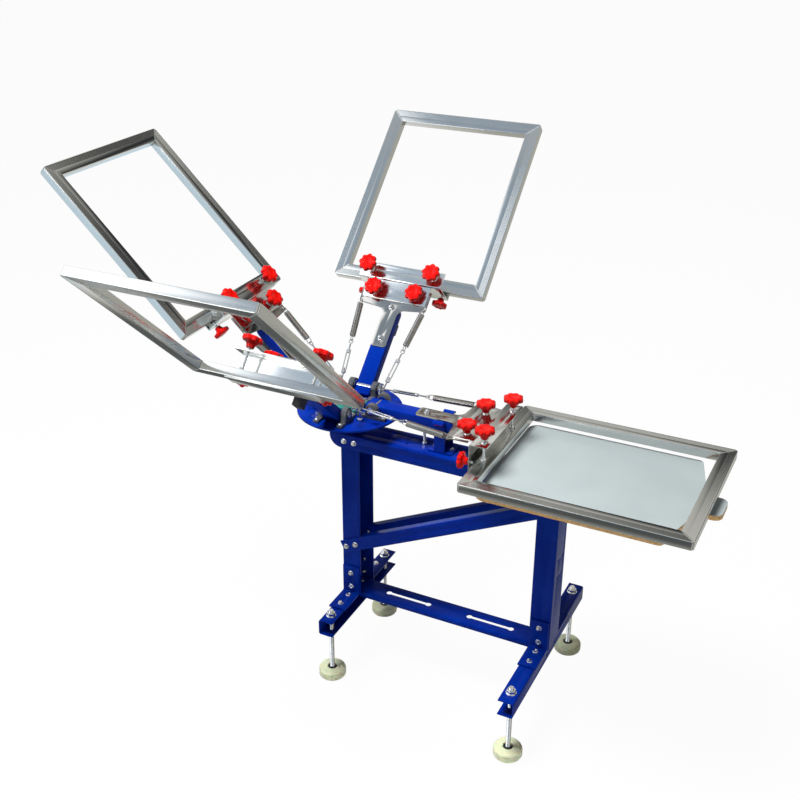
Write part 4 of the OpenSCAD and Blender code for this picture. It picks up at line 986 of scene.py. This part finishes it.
def frame_shapes(letter):
    base = at(FRAME_START, 0, FRAME_TOP - RAIL_TALL)
    half = FRAME_WIDE / 2
    rails = ((FRAME_LONG, at(0, -half)), (FRAME_LONG, at(FRAME_LONG, half) @ tipped(180, "Z")),
             (FRAME_WIDE, at(0, half) @ tipped(-90, "Z")),
             (FRAME_WIDE, at(FRAME_LONG, -half) @ tipped(90, "Z")))
    parts = [(rail(length), ALUMINIUM, base @ place) for length, place in rails]
    bead = shaped("bead", [(turned_form(BEAD, 14), ALUMINIUM)])
    places = bead_places(True) + bead_places(False)
    return parts + [(set_on_places("weld_beads", bead, places, ALUMINIUM), ALUMINIUM)]


on_each_head("aluminium_frame", frame_shapes, "carriage", "screen_frame")

# %% [markdown]
# ## Arms and steel plates
# The arm is a blue tube with rounded long edges and a closed round tip. A zinc cross pin goes
# through it for the hinge, and a black block under it drops between the gate's ears. The T plate
# and the clamp channel are soft-edged copies of their nodes, brushed along the arm.

# %% Arms, head plates and clamp channels
ARM_HEEL, ARM_HALF, ARM_LOW, ARM_HIGH = -28 * MM, 25 * MM, -26 * MM, 6 * MM
TIP_CENTRE = 240 * MM
HEEL_CUT, HEEL_WAY = (ARM_HEEL, 0, -6.4 * MM), Vector((-19.6, 0, -22.4)).normalized()
CROSS_PIN = mm((0, -49), (6.4, -49), (7, -48.4), (7, 48.4), (6.4, 49), (0, 49))
COLLAR = mm((7, -28.4), (11, -28.4), (11.6, -27.8), (11.6, -24.5), (7, -24.5), (7, -28.4))
GATE_BLOCK = mm((190, -12, -60.1), (225, 12, -26.1))
DOME = mm((0, 19.6), (3, 19.1), (5.2, 17.6), (6.2, 15.6), (6.3, 15), (hexed(7.5 * MM), 14.4),
          (hexed(7.5 * MM), 11.1), (0, 11.1))
DOME_WASHER = mm((0, 9.1), (9, 9.1), (9, 10.7), (8.6, 11.1), (0, 11.1))
DOME_X = (152 * MM, 253 * MM)


def arm_shapes(letter):
    plan = ([(ARM_HEEL, -ARM_HALF)] + arc((TIP_CENTRE, 0), ARM_HALF, -90, 90, 24)
            + [(ARM_HEEL, ARM_HALF)])
    tube = pressed(plan, ARM_LOW, ARM_HIGH, 3.2 * MM, 3)
    everything = tube.verts[:] + tube.edges[:] + tube.faces[:]
    cut = bmesh.ops.bisect_plane(tube, geom=everything, plane_co=HEEL_CUT, plane_no=HEEL_WAY,
                                 clear_outer=True)
    rim = [e for e in cut["geom_cut"] if isinstance(e, bmesh.types.BMEdge)]
    bmesh.ops.contextual_create(tube, geom=rim)
    bmesh.ops.recalc_face_normals(tube, faces=tube.faces)
    return [(tube, COBALT), (turned_form(CROSS_PIN, 32), ZINC, tipped(90, "X")),
            (turned_form(COLLAR, 36), COBALT, tipped(90, "X")),
            (turned_form(COLLAR, 36), COBALT, tipped(-90, "X")),
            (block(*GATE_BLOCK, 1.6 * MM), BLACK)]


def head_plate_shapes(letter):
    """The node holds the plate and its bolts. Only the plate is longer than 100 mm."""
    own = head_place(letter).inverted()
    parts = [(softened(f"head_plate_{letter}", 0.5 * MM, own, 100 * MM), STAINLESS)]
    for x in DOME_X:
        parts += [(turned_form(DOME, 48), ZINC, at(x)),
                  (turned_form(DOME_WASHER, 36), ZINC, at(x))]
    return parts


def clamp_channel_shapes(letter):
    own = head_place(letter).inverted()
    return [(softened(f"clamp_channel_{letter}", 0.5 * MM, own), SATIN)]


on_each_head("blue_arm", arm_shapes, "head", "arm")
on_each_head("steel_t_plate", head_plate_shapes, "head", "head_plate")
on_each_head("steel_clamp", clamp_channel_shapes, "carriage", "clamp_channel")

# %% [markdown]
# ## Spring sets
# Two close-wound springs hold each head up or down. Each is hooked on an eyelet in the T plate
# and on a turnbuckle, whose other end loops over a pin on the turntable. The wire follows one
# path: an end hook, close curls, and the other hook.

# %% The line of a spring set
EAR_X, EAR_Y, EAR_Z = 264 * MM, 103 * MM, 7.5 * MM
PIN_HIGH, PIN_LOW = 14.5 * MM, 1.5 * MM


def set_line(letter, side):
    """(place, length) of a spring set: +X runs from the pin to the eyelet."""
    k, lift = HEADS.index(letter), LIFTS[letter]
    pin_z = PIN_HIGH if k % 2 == 0 else PIN_LOW
    x = HINGE_REACH + EAR_X * math.cos(lift) - EAR_Z * math.sin(lift) - ANCHOR
    z = EAR_X * math.sin(lift) + EAR_Z * math.cos(lift) - pin_z
    flat = math.hypot(x, z)
    splay = math.atan2(EAR_Y - ANCHOR, flat)
    place = (turned(k) @ at(ANCHOR, side * ANCHOR, HINGE_Z + pin_z)
             @ Matrix.Rotation(-math.atan2(z, x), 4, "Y") @ Matrix.Rotation(side * splay, 4, "Z"))
    return place, math.hypot(flat, EAR_Y - ANCHOR)


# %% Turnbuckles
OUTER_LOOP = 138 * MM
BOSS = mm((2.5, 0), (4.4, 0), (5, 0.7), (5, 9), (4, 10.5), (2.5, 10.5), (2.5, 0))


def loop(radius, wire_radius):
    points = [(radius * math.cos(math.tau * k / 28), radius * math.sin(math.tau * k / 28), 0)
              for k in range(28)]
    return wire(points, wire_radius, closed=True)


def turnbuckle_shapes(place):
    """Two wire loops, the threaded rods between them, and a body of two bosses and two bars."""
    parts = [(loop(7.2 * MM, 2 * MM), ZINC, place),
             (loop(6 * MM, 1.6 * MM), ZINC, place @ at(OUTER_LOOP))]
    for low, high in ((9 * MM, 52 * MM), (100 * MM, 130.6 * MM)):
        screw = rod(2.4 * MM, low, high, 1 * MM, 0.4 * MM, 16)
        parts.append((screw, ZINC, place @ tipped(90, "Y")))
    for start, way in ((35 * MM, 1), (112 * MM, -1)):
        parts.append((turned_form(BOSS, 32), ZINC, place @ at(start) @ tipped(90 * way, "Y")))
    for y in (-5.4 * MM, 5.4 * MM):
        bar = block((36 * MM, y - 1.5 * MM, -2.5 * MM), (111 * MM, y + 1.5 * MM, 2.5 * MM),
                    1.1 * MM)
        parts.append((bar, ZINC, place))
    return parts


for letter in HEADS:
    parts = [part for side in (-1, 1) for part in turnbuckle_shapes(set_line(letter, side)[0])]
    fitted(f"turnbuckle_pair_{letter}", parts, f"links_{letter}", f"turnbuckles_{letter}")

# %% Springs
LINK_END, CURL, SPRING_WIRE = OUTER_LOOP + 2.4 * MM, 8.2 * MM, 1.1 * MM
CURL_STEPS, HOOK_STEP = 12, 14


def spring_shapes(letter, side):
    place, length = set_line(letter, side)
    first, last = LINK_END + 2 * CURL, length - 2 * CURL
    turns = int((last - first) / (2.12 * SPRING_WIRE))
    steps = turns * CURL_STEPS
    hook = CURL - SPRING_WIRE * 0.5
    near_hook = [math.radians(a) for a in range(-150, 80, HOOK_STEP)]
    far_hook = [math.radians(a) for a in range(80, 330, HOOK_STEP)]
    points = [(LINK_END + hook - hook * math.cos(a), 0, hook * math.sin(a)) for a in near_hook]
    for k in range(steps + 1):
        a = math.tau * k / CURL_STEPS + math.pi / 2
        points.append((first + (last - first) * k / steps, CURL * math.cos(a), CURL * math.sin(a)))
    points += [(length - hook - hook * math.cos(a), 0, hook * math.sin(a)) for a in far_hook]
    return [(wire(points, SPRING_WIRE, 8), NICKEL, place)]


for letter in HEADS:
    piece = placed(f"spring_pair_{letter}", spring_shapes(letter, -1) + spring_shapes(letter, 1))
    (near, length), (far, _) = set_line(letter, -1), set_line(letter, 1)
    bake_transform(piece)
    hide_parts(f"springs_{letter}")
print("spring pairs", len(HEADS), "with", len(piece.data.polygons), "faces each")
